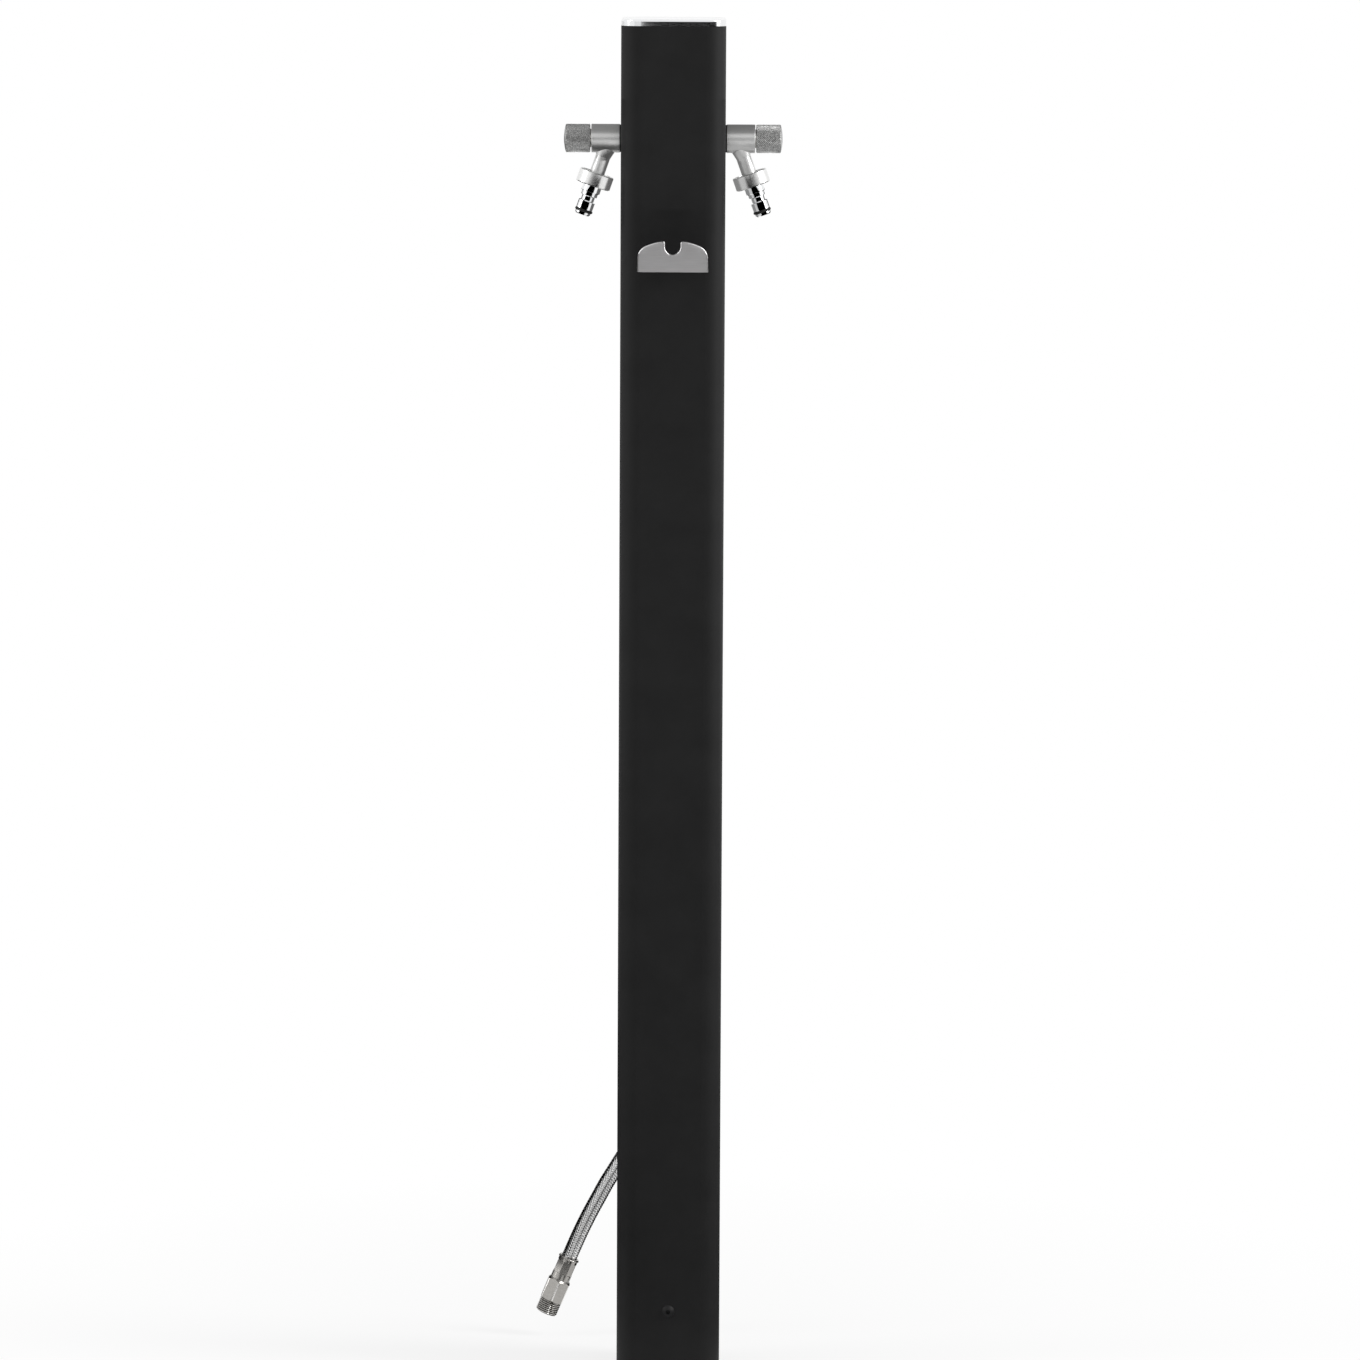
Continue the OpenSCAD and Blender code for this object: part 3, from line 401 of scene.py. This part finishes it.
def knob_rows(sides):
    """Rows from the hollow's floor over the rim, the knurl and the dome.

    Returns the numbers of the knurl's first and last row as well.
    """
    dome_base = KNOB_RADIUS - KNOB_EDGE
    dome_radius = (dome_base**2 + KNOB_DOME**2) / (2 * KNOB_DOME)
    root = KNOB_RADIUS - KNURL_DEPTH
    rows = [
        (KNOB_HOLLOW_END, 0),
        (KNOB_HOLLOW_END, KNOB_HOLLOW_RADIUS),
        (KNOB_START, KNOB_HOLLOW_RADIUS),
        (KNOB_START, dome_base),
        (KNOB_START + KNOB_EDGE / 2, root),
    ]
    first = KNOB_START + KNOB_EDGE
    last = KNOB_END - KNOB_DOME - KNOB_EDGE
    spacing = 2 * math.pi * KNOB_RADIUS / sides
    count = round((last - first) / spacing)
    start_row = len(rows)
    for number, height in enumerate(np.linspace(first, last, count + 1)):
        crest = (np.arange(sides) + number) % 2
        rows.append((height, root + KNURL_DEPTH * crest))
    end_row = len(rows) - 1
    rows.append((KNOB_END - KNOB_DOME - KNOB_EDGE / 2, root))
    for share in np.linspace(1, 0, KNOB_DOME_ROWS):
        radius = dome_base * share
        rows.append((KNOB_END - dome_radius + math.sqrt(dome_radius**2 - radius**2), radius))
    return rows, start_row, end_row


def knob_faces(rows, sides, start_row, end_row):
    """Quads everywhere but on the knurl, whose quads are split along their grooves."""
    faces = []
    for row in range(rows - 1):
        for side in range(sides):
            a = row * sides + side
            b = row * sides + (side + 1) % sides
            c, d = b + sides, a + sides
            if not start_row <= row < end_row:
                faces.append((a, b, c, d))
            elif (side + row - start_row) % 2 == 0:
                faces += [(a, b, c), (a, c, d)]
            else:
                faces += [(a, b, d), (b, c, d)]
    return faces


def cut_round_hole(piece, matrix, radius, depth):
    """Cuts a round hole along the matrix's +Z out of a mesh for good."""
    rows = [(0, 0), (0, radius), (depth, radius), (depth, 0)]
    points = placed(turned_rings(rows, HOLE_SIDES), matrix)
    cutter = mesh_object("cutter", points, ring_faces(len(rows), HOLE_SIDES))
    boolean = piece.modifiers.new("hole", "BOOLEAN")
    boolean.operation = "DIFFERENCE"
    boolean.solver = "EXACT"
    boolean.object = cutter
    evaluated = piece.evaluated_get(bpy.context.evaluated_depsgraph_get())
    solid = piece.data
    piece.data = bpy.data.meshes.new_from_object(evaluated)
    piece.modifiers.clear()
    bpy.data.meshes.remove(solid)
    bpy.data.objects.remove(cutter)


def add_knob(side, place):
    """One side's knob with its grub-screw hole, on the body that turns."""
    sides = 2 * KNURLS_ROUND
    rows, start_row, end_row = knob_rows(sides)
    points = placed(turned_rings(rows, sides), place)
    faces = knob_faces(len(rows), sides, start_row, end_row)
    knob = mesh_object(f"{side}_knurled_knob", points, faces, sharp_degrees=20)
    down = Matrix.Translation(place @ Vector((0, 0, GRUB_PLACE))) @ Matrix.Rotation(math.pi, 4, "X")
    cut_round_hole(knob, down, GRUB_HOLE_RADIUS, 2 * KNOB_RADIUS)
    knob.data.materials.clear()
    knob.data.materials.append(materials["knob_steel"])
    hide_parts(f"{side}_knob")
    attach(knob, f"{side}_tap_knob")


# Hose hook: the notched plate with rounded edges
HOOK_Z = 1024.5 * MM
HOOK_FRONT_Y = -80.5 * MM
HOOK_BACK_Y = -77.5 * MM
HOOK_WIDTH = 64 * MM
HOOK_HEIGHT = 28.5 * MM
HOOK_CROWN_RADIUS = 62 * MM
HOOK_SHOULDER_RADIUS = 13 * MM
HOOK_NOTCH_WIDTH = 14 * MM
HOOK_NOTCH_DEPTH = 12.5 * MM
HOOK_LIP_RADIUS = 2 * MM
HOOK_EDGE = 1.2 * MM
HOOK_EDGE_STEPS = 5
HOOK_SHOULDER_STEPS = 14
HOOK_CROWN_STEPS = 16
HOOK_LIP_STEPS = 10
HOOK_NOTCH_STEPS = 14


def hook_half_outline():
    """The plate's right half, from its lower corner to the bottom of the notch, as x and height."""
    crown_y = HOOK_HEIGHT - HOOK_CROWN_RADIUS
    shoulder_x = HOOK_WIDTH / 2 - HOOK_SHOULDER_RADIUS
    shoulder_rise = math.sqrt((HOOK_CROWN_RADIUS - HOOK_SHOULDER_RADIUS) ** 2 - shoulder_x**2)
    shoulder_end = math.degrees(math.atan2(shoulder_rise, shoulder_x))
    lip_x = HOOK_NOTCH_WIDTH / 2 + HOOK_LIP_RADIUS
    lip_rise = math.sqrt((HOOK_CROWN_RADIUS - HOOK_LIP_RADIUS) ** 2 - lip_x**2)
    lip_start = math.degrees(math.atan2(lip_rise, lip_x))
    notch_y = HOOK_HEIGHT - HOOK_NOTCH_DEPTH + HOOK_NOTCH_WIDTH / 2
    shoulder = (shoulder_x, crown_y + shoulder_rise)
    lip = (lip_x, crown_y + lip_rise)
    outline = [(HOOK_WIDTH / 2, 0)]
    outline += arc(shoulder, HOOK_SHOULDER_RADIUS, 0, shoulder_end, HOOK_SHOULDER_STEPS)
    outline += arc((0, crown_y), HOOK_CROWN_RADIUS, shoulder_end, lip_start, HOOK_CROWN_STEPS)[1:]
    outline += arc(lip, HOOK_LIP_RADIUS, lip_start, 180, HOOK_LIP_STEPS)[1:]
    outline += arc((0, notch_y), HOOK_NOTCH_WIDTH / 2, 0, -90, HOOK_NOTCH_STEPS)
    return outline


def inset(outline, distance):
    """The anticlockwise outline moved inwards by a distance. Its lowest points keep their height."""
    points = np.array(outline)
    ways = np.roll(points, -1, axis=0) - points
    ways /= np.linalg.norm(ways, axis=1)[:, None]
    after = np.column_stack([-ways[:, 1], ways[:, 0]])
    before = np.roll(after, 1, axis=0)
    mitre = (before + after) / (1 + np.sum(before * after, axis=1))[:, None]
    moved = points + distance * mitre
    lowest = points[:, 1] == points[:, 1].min()
    moved[lowest, 1] = points[lowest, 1]
    return moved


def add_hook_plate():
    """The plate with its edges rounded, all but the straight lower one."""
    half = hook_half_outline()
    outline = half + [(-x, z) for x, z in half[-2::-1]]
    round_edge = arc((HOOK_EDGE, HOOK_EDGE), HOOK_EDGE, 270, 180, HOOK_EDGE_STEPS)
    rings = [(HOOK_FRONT_Y + depth, distance) for distance, depth in round_edge]
    rings += [(HOOK_BACK_Y - depth, distance) for distance, depth in round_edge[::-1]]
    count = len(outline)
    points = [(x, y, HOOK_Z + z) for y, distance in rings for x, z in inset(outline, distance)]
    faces = ring_faces(len(rings), count)
    faces.append(tuple(range(count)))
    faces.append(tuple(range(len(points) - count, len(points))))
    plate = mesh_object("hook_plate_rounded", points, faces, sharp_degrees=40)
    plate.data.materials.append(materials["hook_steel"])
    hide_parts("hook_plate")
    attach(plate, FIXED_BODY)


# Materials
@dataclass
class Finish:
    """One surface: two tints in patches, a range of roughness, and a fine grain with some height."""

    dark: tuple
    light: tuple
    rough: tuple
    metallic: float = 0.0
    specular: float = 0.5
    patch: float = 8 * MM
    grain: float = 0.6 * MM
    grain_height: float = 0.02 * MM
    stretch: tuple = (1, 1, 1)


FINISHES = {
    "powder_black": Finish(
        (0.0105, 0.0105, 0.0107), (0.0135, 0.0135, 0.0137), (0.5, 0.62), specular=0.16, patch=30 * MM,
        grain=0.7 * MM, grain_height=0.03 * MM,
    ),
    "cap_chrome": Finish(
        (0.82, 0.83, 0.84), (0.87, 0.875, 0.88), (0.1, 0.16), 1.0, patch=25 * MM, grain_height=0.002 * MM,
    ),
    "foot_aluminium": Finish((0.035, 0.036, 0.038), (0.055, 0.056, 0.058), (0.5, 0.65), specular=0.4),
    "screw_black": Finish(
        (0.008, 0.008, 0.0085), (0.012, 0.012, 0.0125), (0.5, 0.6), specular=0.2, grain=0.3 * MM,
    ),
    "hook_steel": Finish(
        (0.56, 0.552, 0.556), (0.615, 0.607, 0.611), (0.3, 0.38), 1.0, patch=0.8 * MM,
        grain=0.25 * MM, grain_height=0.004 * MM, stretch=(0.06, 1, 1),
    ),
    "tap_steel": Finish(
        (0.62, 0.62, 0.614), (0.7, 0.7, 0.694), (0.34, 0.44), 1.0, patch=0.8 * MM,
        grain=0.35 * MM, grain_height=0.02 * MM,
    ),
    "knob_steel": Finish(
        (0.22, 0.22, 0.218), (0.68, 0.68, 0.674), (0.32, 0.46), 1.0, patch=1 * MM, grain=0.4 * MM,
    ),
    "nut_steel": Finish(
        (0.78, 0.78, 0.773), (0.84, 0.84, 0.833), (0.24, 0.32), 1.0, patch=1.2 * MM,
        grain=0.35 * MM, grain_height=0.01 * MM,
    ),
    "chrome_plate": Finish(
        (0.82, 0.83, 0.84), (0.89, 0.895, 0.9), (0.03, 0.08), 1.0, patch=6 * MM, grain_height=0.001 * MM,
    ),
    "fitting_nickel": Finish(
        (0.37, 0.359, 0.34), (0.43, 0.417, 0.396), (0.16, 0.26), 1.0, patch=2 * MM,
        grain=0.3 * MM, grain_height=0.006 * MM,
    ),
    # A darker nickel for the thread's roots: painted shade
    "nickel_painted_shade": Finish(
        (0.07, 0.068, 0.064), (0.12, 0.116, 0.11), (0.4, 0.55), 1.0, patch=2 * MM, grain=0.3 * MM,
    ),
    # A lighter nickel for the hexagon's corners and the thread's crests: a painted highlight
    "nickel_painted_highlight": Finish(
        (0.84, 0.825, 0.8), (0.92, 0.905, 0.88), (0.2, 0.3), 1.0, patch=2 * MM,
        grain=0.3 * MM, grain_height=0.004 * MM,
    ),
    "hose_braid": Finish(
        (0.66, 0.66, 0.656), (0.9, 0.9, 0.895), (0.1, 0.2), 1.0, patch=1.5 * MM, grain=0.3 * MM,
    ),
    "rubber_black": Finish(
        (0.009, 0.009, 0.009), (0.016, 0.016, 0.016), (0.5, 0.7), specular=0.4, grain=0.4 * MM,
    ),
    "fibre": Finish((0.19, 0.045, 0.03), (0.3, 0.08, 0.05), (0.7, 0.85), specular=0.3, patch=2 * MM),
    "brass": Finish((0.5, 0.34, 0.12), (0.66, 0.47, 0.2), (0.2, 0.34), 1.0, patch=6 * MM, grain=0.3 * MM),
    "spring_steel": Finish((0.26, 0.26, 0.27), (0.38, 0.38, 0.39), (0.28, 0.4), 1.0, patch=3 * MM),
    "ceramic_white": Finish((0.78, 0.77, 0.74), (0.87, 0.86, 0.83), (0.2, 0.3), specular=0.5, patch=3 * MM),
}
# Noise values where a finish reaches its first and its second tint and roughness
NOISE_LOW = 0.3
NOISE_HIGH = 0.7


def noise(tree, size, stretch=(1, 1, 1), detail=3):
    """A noise of about that grain size in the object's own space. Returns its value socket."""
    coordinates = tree.nodes.new("ShaderNodeTexCoord")
    mapping = tree.nodes.new("ShaderNodeMapping")
    mapping.inputs["Scale"].default_value = stretch
    texture = tree.nodes.new("ShaderNodeTexNoise")
    texture.inputs["Scale"].default_value = 1 / size
    texture.inputs["Detail"].default_value = detail
    tree.links.new(coordinates.outputs["Object"], mapping.inputs["Vector"])
    tree.links.new(mapping.outputs["Vector"], texture.inputs["Vector"])
    return texture.outputs["Fac"]


def material_of(slot, finish):
    """A procedural material of that finish, named after its slot."""
    material = bpy.data.materials.new(slot)
    material.use_nodes = True
    tree = material.node_tree
    shader = tree.nodes["Principled BSDF"]
    shader.inputs["Metallic"].default_value = finish.metallic
    shader.inputs["Specular IOR Level"].default_value = finish.specular

    tint = tree.nodes.new("ShaderNodeValToRGB")
    tint.color_ramp.elements[0].position = NOISE_LOW
    tint.color_ramp.elements[0].color = (*finish.dark, 1)
    tint.color_ramp.elements[1].position = NOISE_HIGH
    tint.color_ramp.elements[1].color = (*finish.light, 1)
    tree.links.new(noise(tree, finish.patch, finish.stretch, detail=5), tint.inputs["Fac"])
    tree.links.new(tint.outputs["Color"], shader.inputs["Base Color"])

    gloss = tree.nodes.new("ShaderNodeMapRange")
    gloss.inputs["From Min"].default_value = NOISE_LOW
    gloss.inputs["From Max"].default_value = NOISE_HIGH
    gloss.inputs["To Min"].default_value = finish.rough[0]
    gloss.inputs["To Max"].default_value = finish.rough[1]
    grain = noise(tree, finish.grain, finish.stretch)
    tree.links.new(grain, gloss.inputs["Value"])
    tree.links.new(gloss.outputs["Result"], shader.inputs["Roughness"])

    bump = tree.nodes.new("ShaderNodeBump")
    bump.inputs["Strength"].default_value = 1
    bump.inputs["Distance"].default_value = finish.grain_height
    tree.links.new(grain, bump.inputs["Height"])
    tree.links.new(bump.outputs["Normal"], shader.inputs["Normal"])
    return material


def dress_cad_nodes():
    """Gives each CAD node the material of its slot."""
    for part in frame["record"]["subparts"]:
        mesh = nodes[part["node"]].data
        mesh.materials.clear()
        mesh.materials.append(materials[part["material_slot"]])


# Studio: a pale floor, a white surround, two softboxes, and cards that only mirrors see
FILL_STRENGTH = 0.45
SEEN_STRENGTH = 1
FLOOR_HALF = 30
FLOOR_TINT = (0.85, 0.85, 0.85, 1)
FLOOR_ROUGHNESS = 0.9
FLOOR_WHITENING = 0.75
FLOOR_FADE_REACH = 0.9
LIT_POINT = Vector((0, 0, 0.8))
SOFTBOX_WIDTH = 1.2
SOFTBOX_HEIGHT = 4.4
# Each softbox: its place and its power in watts
SOFTBOXES = {
    "right_softbox": (Vector((3.9, -0.9, 3.2)), 180),
    "left_softbox": (Vector((-4.2, -0.9, 3.2)), 70),
}
DOME_RADIUS = 7
DOME_CENTRE = Vector((0, 0, 1.1))
DOME_STEPS = 24
# Each black flag on the dome, in degrees: its left and right edge as turns from the front,
# then its low and high edge
DOME_FLAGS = {
    "front_flag": (-35, 60, -8, 6),
    "back_left_flag": (-178, -115, -9, -1),
}
# Strengths of the cards run from black to white
BLACK = 0
WHITE = 1
# Each single card: its middle, half of its width and of its height as vectors whose cross product
# is its front, then its strength
SINGLE_CARDS = {
    "front_floor_card": ((-0.1, -1.26, 0.002), (0.12, 0, 0), (0, 1.14, 0), BLACK),
    "left_floor_card": ((-1.3, 0.6, 0.002), (1.1, 0, 0), (0, 1.2, 0), BLACK),
    "right_floor_card": ((1.3, 0.6, 0.002), (1.2, 0, 0), (0, 1.2, 0), BLACK),
    "hook_roof": ((0, -0.1, 1.08), (0.018, 0, 0), (0, -0.05, 0), BLACK),
    "hose_left_card": ((-0.16, 0.2175, 0.195), (0, 0.1325, 0), (0, 0, 0.115), BLACK),
    "hose_right_card": ((-0.02, 0.271, 0.1), (0, -0.129, 0), (0, 0, 0.1), BLACK),
    "cap_fill": ((-0.095, -0.1975, 1.242), (-0.065, 0, 0), (0, 0, 0.015), 0.85),
    "hose_front_fill": ((-0.2, 0.03, 0.165), (-0.06, 0, 0), (0, 0, 0.085), WHITE),
    "hose_column_fill": ((0.015, 0.052, 0.1), (-0.035, 0, 0), (0, 0, 0.1), 0.7),
}
# Each pair of cards: the left one as above, then the strength of the left and of the right one
CARD_PAIRS = {
    "hook_card": ((-0.0335, -0.079, 1.031), (0, 0.0065, 0), (0, 0, 0.011), BLACK, BLACK),
    "nipple_card": ((-0.0825, -0.04, 1.0835), (-0.055, 0, 0), (0, 0, 0.0185), BLACK, BLACK),
    "nipple_edge_card": ((-0.092, 0.014, 1.0785), (0.012, 0, 0), (0, 0, 0.0185), BLACK, BLACK),
    "tap_roof": ((-0.1075, 0.03, 1.178), (0.0625, 0, 0), (0, -0.08, 0), 0.3, 0.2),
    "tap_floor": ((-0.0615, -0.0135, 1.121), (0.014, 0, 0), (0, 0.0085, 0), 0.08, 0.6),
    "knob_floor": ((-0.088, 0.015, 1.121), (0.0125, 0, 0), (0, 0.025, 0), WHITE, WHITE),
    "tap_fill": ((-0.0487, -0.0285, 1.0875), (0, -0.0165, 0), (0, 0, 0.0375), WHITE, 0.6),
    "side_fill": ((-0.0487, 0.0165, 1.0875), (0, -0.0285, 0), (0, 0, 0.0375), 0.15, 0.28),
    "front_fill": ((-0.0538, -0.05, 1.1075), (-0.0063, 0, 0), (0, 0, 0.0175), WHITE, 0.6),
}


def white_for_seen_rays(tree):
    """A socket that is 1 for rays from the camera, mirrors and glass, and 0 for the rest."""
    rays = tree.nodes.new("ShaderNodeLightPath")
    seen = rays.outputs["Is Camera Ray"]
    for name in ("Is Glossy Ray", "Is Transmission Ray"):
        both = tree.nodes.new("ShaderNodeMath")
        both.operation = "MAXIMUM"
        tree.links.new(seen, both.inputs[0])
        tree.links.new(rays.outputs[name], both.inputs[1])
        seen = both.outputs["Value"]
    return seen


def add_world():
    """White where it is seen, and a softer fill where it lights."""
    world = bpy.data.worlds.new("studio")
    world.use_nodes = True
    tree = world.node_tree
    tree.nodes.clear()
    output = tree.nodes.new("ShaderNodeOutputWorld")
    mix = tree.nodes.new("ShaderNodeMixShader")
    for socket, strength in ((1, FILL_STRENGTH), (2, SEEN_STRENGTH)):
        background = tree.nodes.new("ShaderNodeBackground")
        background.inputs["Color"].default_value = (1, 1, 1, 1)
        background.inputs["Strength"].default_value = strength
        tree.links.new(background.outputs["Background"], mix.inputs[socket])
    tree.links.new(white_for_seen_rays(tree), mix.inputs["Fac"])
    tree.links.new(mix.outputs["Shader"], output.inputs["Surface"])
    bpy.context.scene.world = world


def stage_sheet(name, points, faces):
    """A thin sheet that belongs to the studio."""
    mesh = bpy.data.meshes.new(name)
    mesh.from_pydata(points, [], faces)
    sheet = bpy.data.objects.new(name, mesh)
    bpy.context.collection.objects.link(sheet)
    return sheet


def flat_sheet(name, centre, across, up):
    """A rectangle round its centre, from half of its width and height. Its front is across x up."""
    centre, across, up = Vector(centre), Vector(across), Vector(up)
    corners = [centre - across - up, centre + across - up, centre + across + up, centre - across + up]
    return stage_sheet(name, corners, [(0, 1, 2, 3)])


def mirrored(centre, across, up):
    """The same rectangle on the other side of the column, with its front mirrored too."""
    flip = Vector((-1, 1, 1))
    return flip * Vector(centre), -flip * Vector(across), flip * Vector(up)


def add_floor():
    """A pale floor that keeps the object's shadow and looks nearly white."""
    floor = flat_sheet("floor", (0, 0, 0), (FLOOR_HALF, 0, 0), (0, FLOOR_HALF, 0))
    material = bpy.data.materials.new("floor_white")
    material.use_nodes = True
    tree = material.node_tree
    shader = tree.nodes["Principled BSDF"]
    shader.inputs["Base Color"].default_value = FLOOR_TINT
    shader.inputs["Roughness"].default_value = FLOOR_ROUGHNESS
    shader.inputs["Specular IOR Level"].default_value = 0
    glow = tree.nodes.new("ShaderNodeEmission")
    glow.inputs["Color"].default_value = (1, 1, 1, 1)
    mix = tree.nodes.new("ShaderNodeMixShader")
    coordinates = tree.nodes.new("ShaderNodeTexCoord")
    distance = tree.nodes.new("ShaderNodeVectorMath")
    distance.operation = "LENGTH"
    fade = tree.nodes.new("ShaderNodeMapRange")
    fade.inputs["From Max"].default_value = FLOOR_FADE_REACH
    fade.inputs["To Min"].default_value = FLOOR_WHITENING
    share = tree.nodes.new("ShaderNodeMath")
    share.operation = "MULTIPLY"
    tree.links.new(coordinates.outputs["Object"], distance.inputs[0])
    tree.links.new(distance.outputs["Value"], fade.inputs["Value"])
    tree.links.new(fade.outputs["Result"], share.inputs[0])
    tree.links.new(white_for_seen_rays(tree), share.inputs[1])
    tree.links.new(share.outputs["Value"], mix.inputs["Fac"])
    tree.links.new(shader.outputs["BSDF"], mix.inputs[1])
    tree.links.new(glow.outputs["Emission"], mix.inputs[2])
    tree.links.new(mix.outputs["Shader"], tree.nodes["Material Output"].inputs["Surface"])
    floor.data.materials.append(material)


def dome_patch(name, left, right, low, high):
    """Part of a dome between two turns from the front and two heights, in degrees.

    Its front is its inside.
    """
    points = []
    for up in np.radians(np.linspace(high, low, DOME_STEPS)):
        for turn in np.radians(np.linspace(left, right, DOME_STEPS)):
            across = math.cos(up)
            way = Vector((across * math.sin(turn), -across * math.cos(turn), math.sin(up)))
            points.append(DOME_CENTRE + DOME_RADIUS * way)
    return stage_sheet(name, points, ring_faces(DOME_STEPS, DOME_STEPS, closed=False))


def make_card(sheet, strength):
    """Turns a sheet into a card that only mirrors see, and only from its front."""
    material = bpy.data.materials.new(sheet.name)
    material.use_nodes = True
    tree = material.node_tree
    tree.nodes.clear()
    output = tree.nodes.new("ShaderNodeOutputMaterial")
    glow = tree.nodes.new("ShaderNodeEmission")
    glow.inputs["Strength"].default_value = strength
    side = tree.nodes.new("ShaderNodeNewGeometry")
    clear = tree.nodes.new("ShaderNodeBsdfTransparent")
    mix = tree.nodes.new("ShaderNodeMixShader")
    tree.links.new(side.outputs["Backfacing"], mix.inputs["Fac"])
    tree.links.new(glow.outputs["Emission"], mix.inputs[1])
    tree.links.new(clear.outputs["BSDF"], mix.inputs[2])
    tree.links.new(mix.outputs["Shader"], output.inputs["Surface"])
    sheet.data.materials.append(material)
    sheet.visible_camera = False
    sheet.visible_diffuse = False
    sheet.visible_shadow = False


def add_softbox(name, place, power):
    """A tall rectangular lamp that faces the lit point."""
    light = bpy.data.lights.new(name, "AREA")
    light.shape = "RECTANGLE"
    light.size = SOFTBOX_WIDTH
    light.size_y = SOFTBOX_HEIGHT
    light.energy = power
    box = bpy.data.objects.new(name, light)
    bpy.context.collection.objects.link(box)
    box.location = place
    box.rotation_euler = (LIT_POINT - place).to_track_quat("-Z", "Y").to_euler()


def add_studio():
    """The world, the floor, the cards and the lamps."""
    add_world()
    add_floor()
    for name, edges in DOME_FLAGS.items():
        make_card(dome_patch(name, *edges), BLACK)
    for name, (*sheet, strength) in SINGLE_CARDS.items():
        make_card(flat_sheet(name, *sheet), strength)
    for name, (*sheet, left_strength, right_strength) in CARD_PAIRS.items():
        make_card(flat_sheet(f"left_{name}", *sheet), left_strength)
        make_card(flat_sheet(f"right_{name}", *mirrored(*sheet)), right_strength)
    for name, (place, power) in SOFTBOXES.items():
        add_softbox(name, place, power)
    bpy.context.scene.view_settings.view_transform = "Standard"


add_camera()
materials = {slot: material_of(slot, finish) for slot, finish in FINISHES.items()}
supply_hose, hose_route = add_supply_hose()
hose_end = add_hose_end()
for tap_side, tap_place in tap_frames().items():
    add_knob(tap_side, tap_place)
add_hook_plate()
dress_cad_nodes()
add_studio()
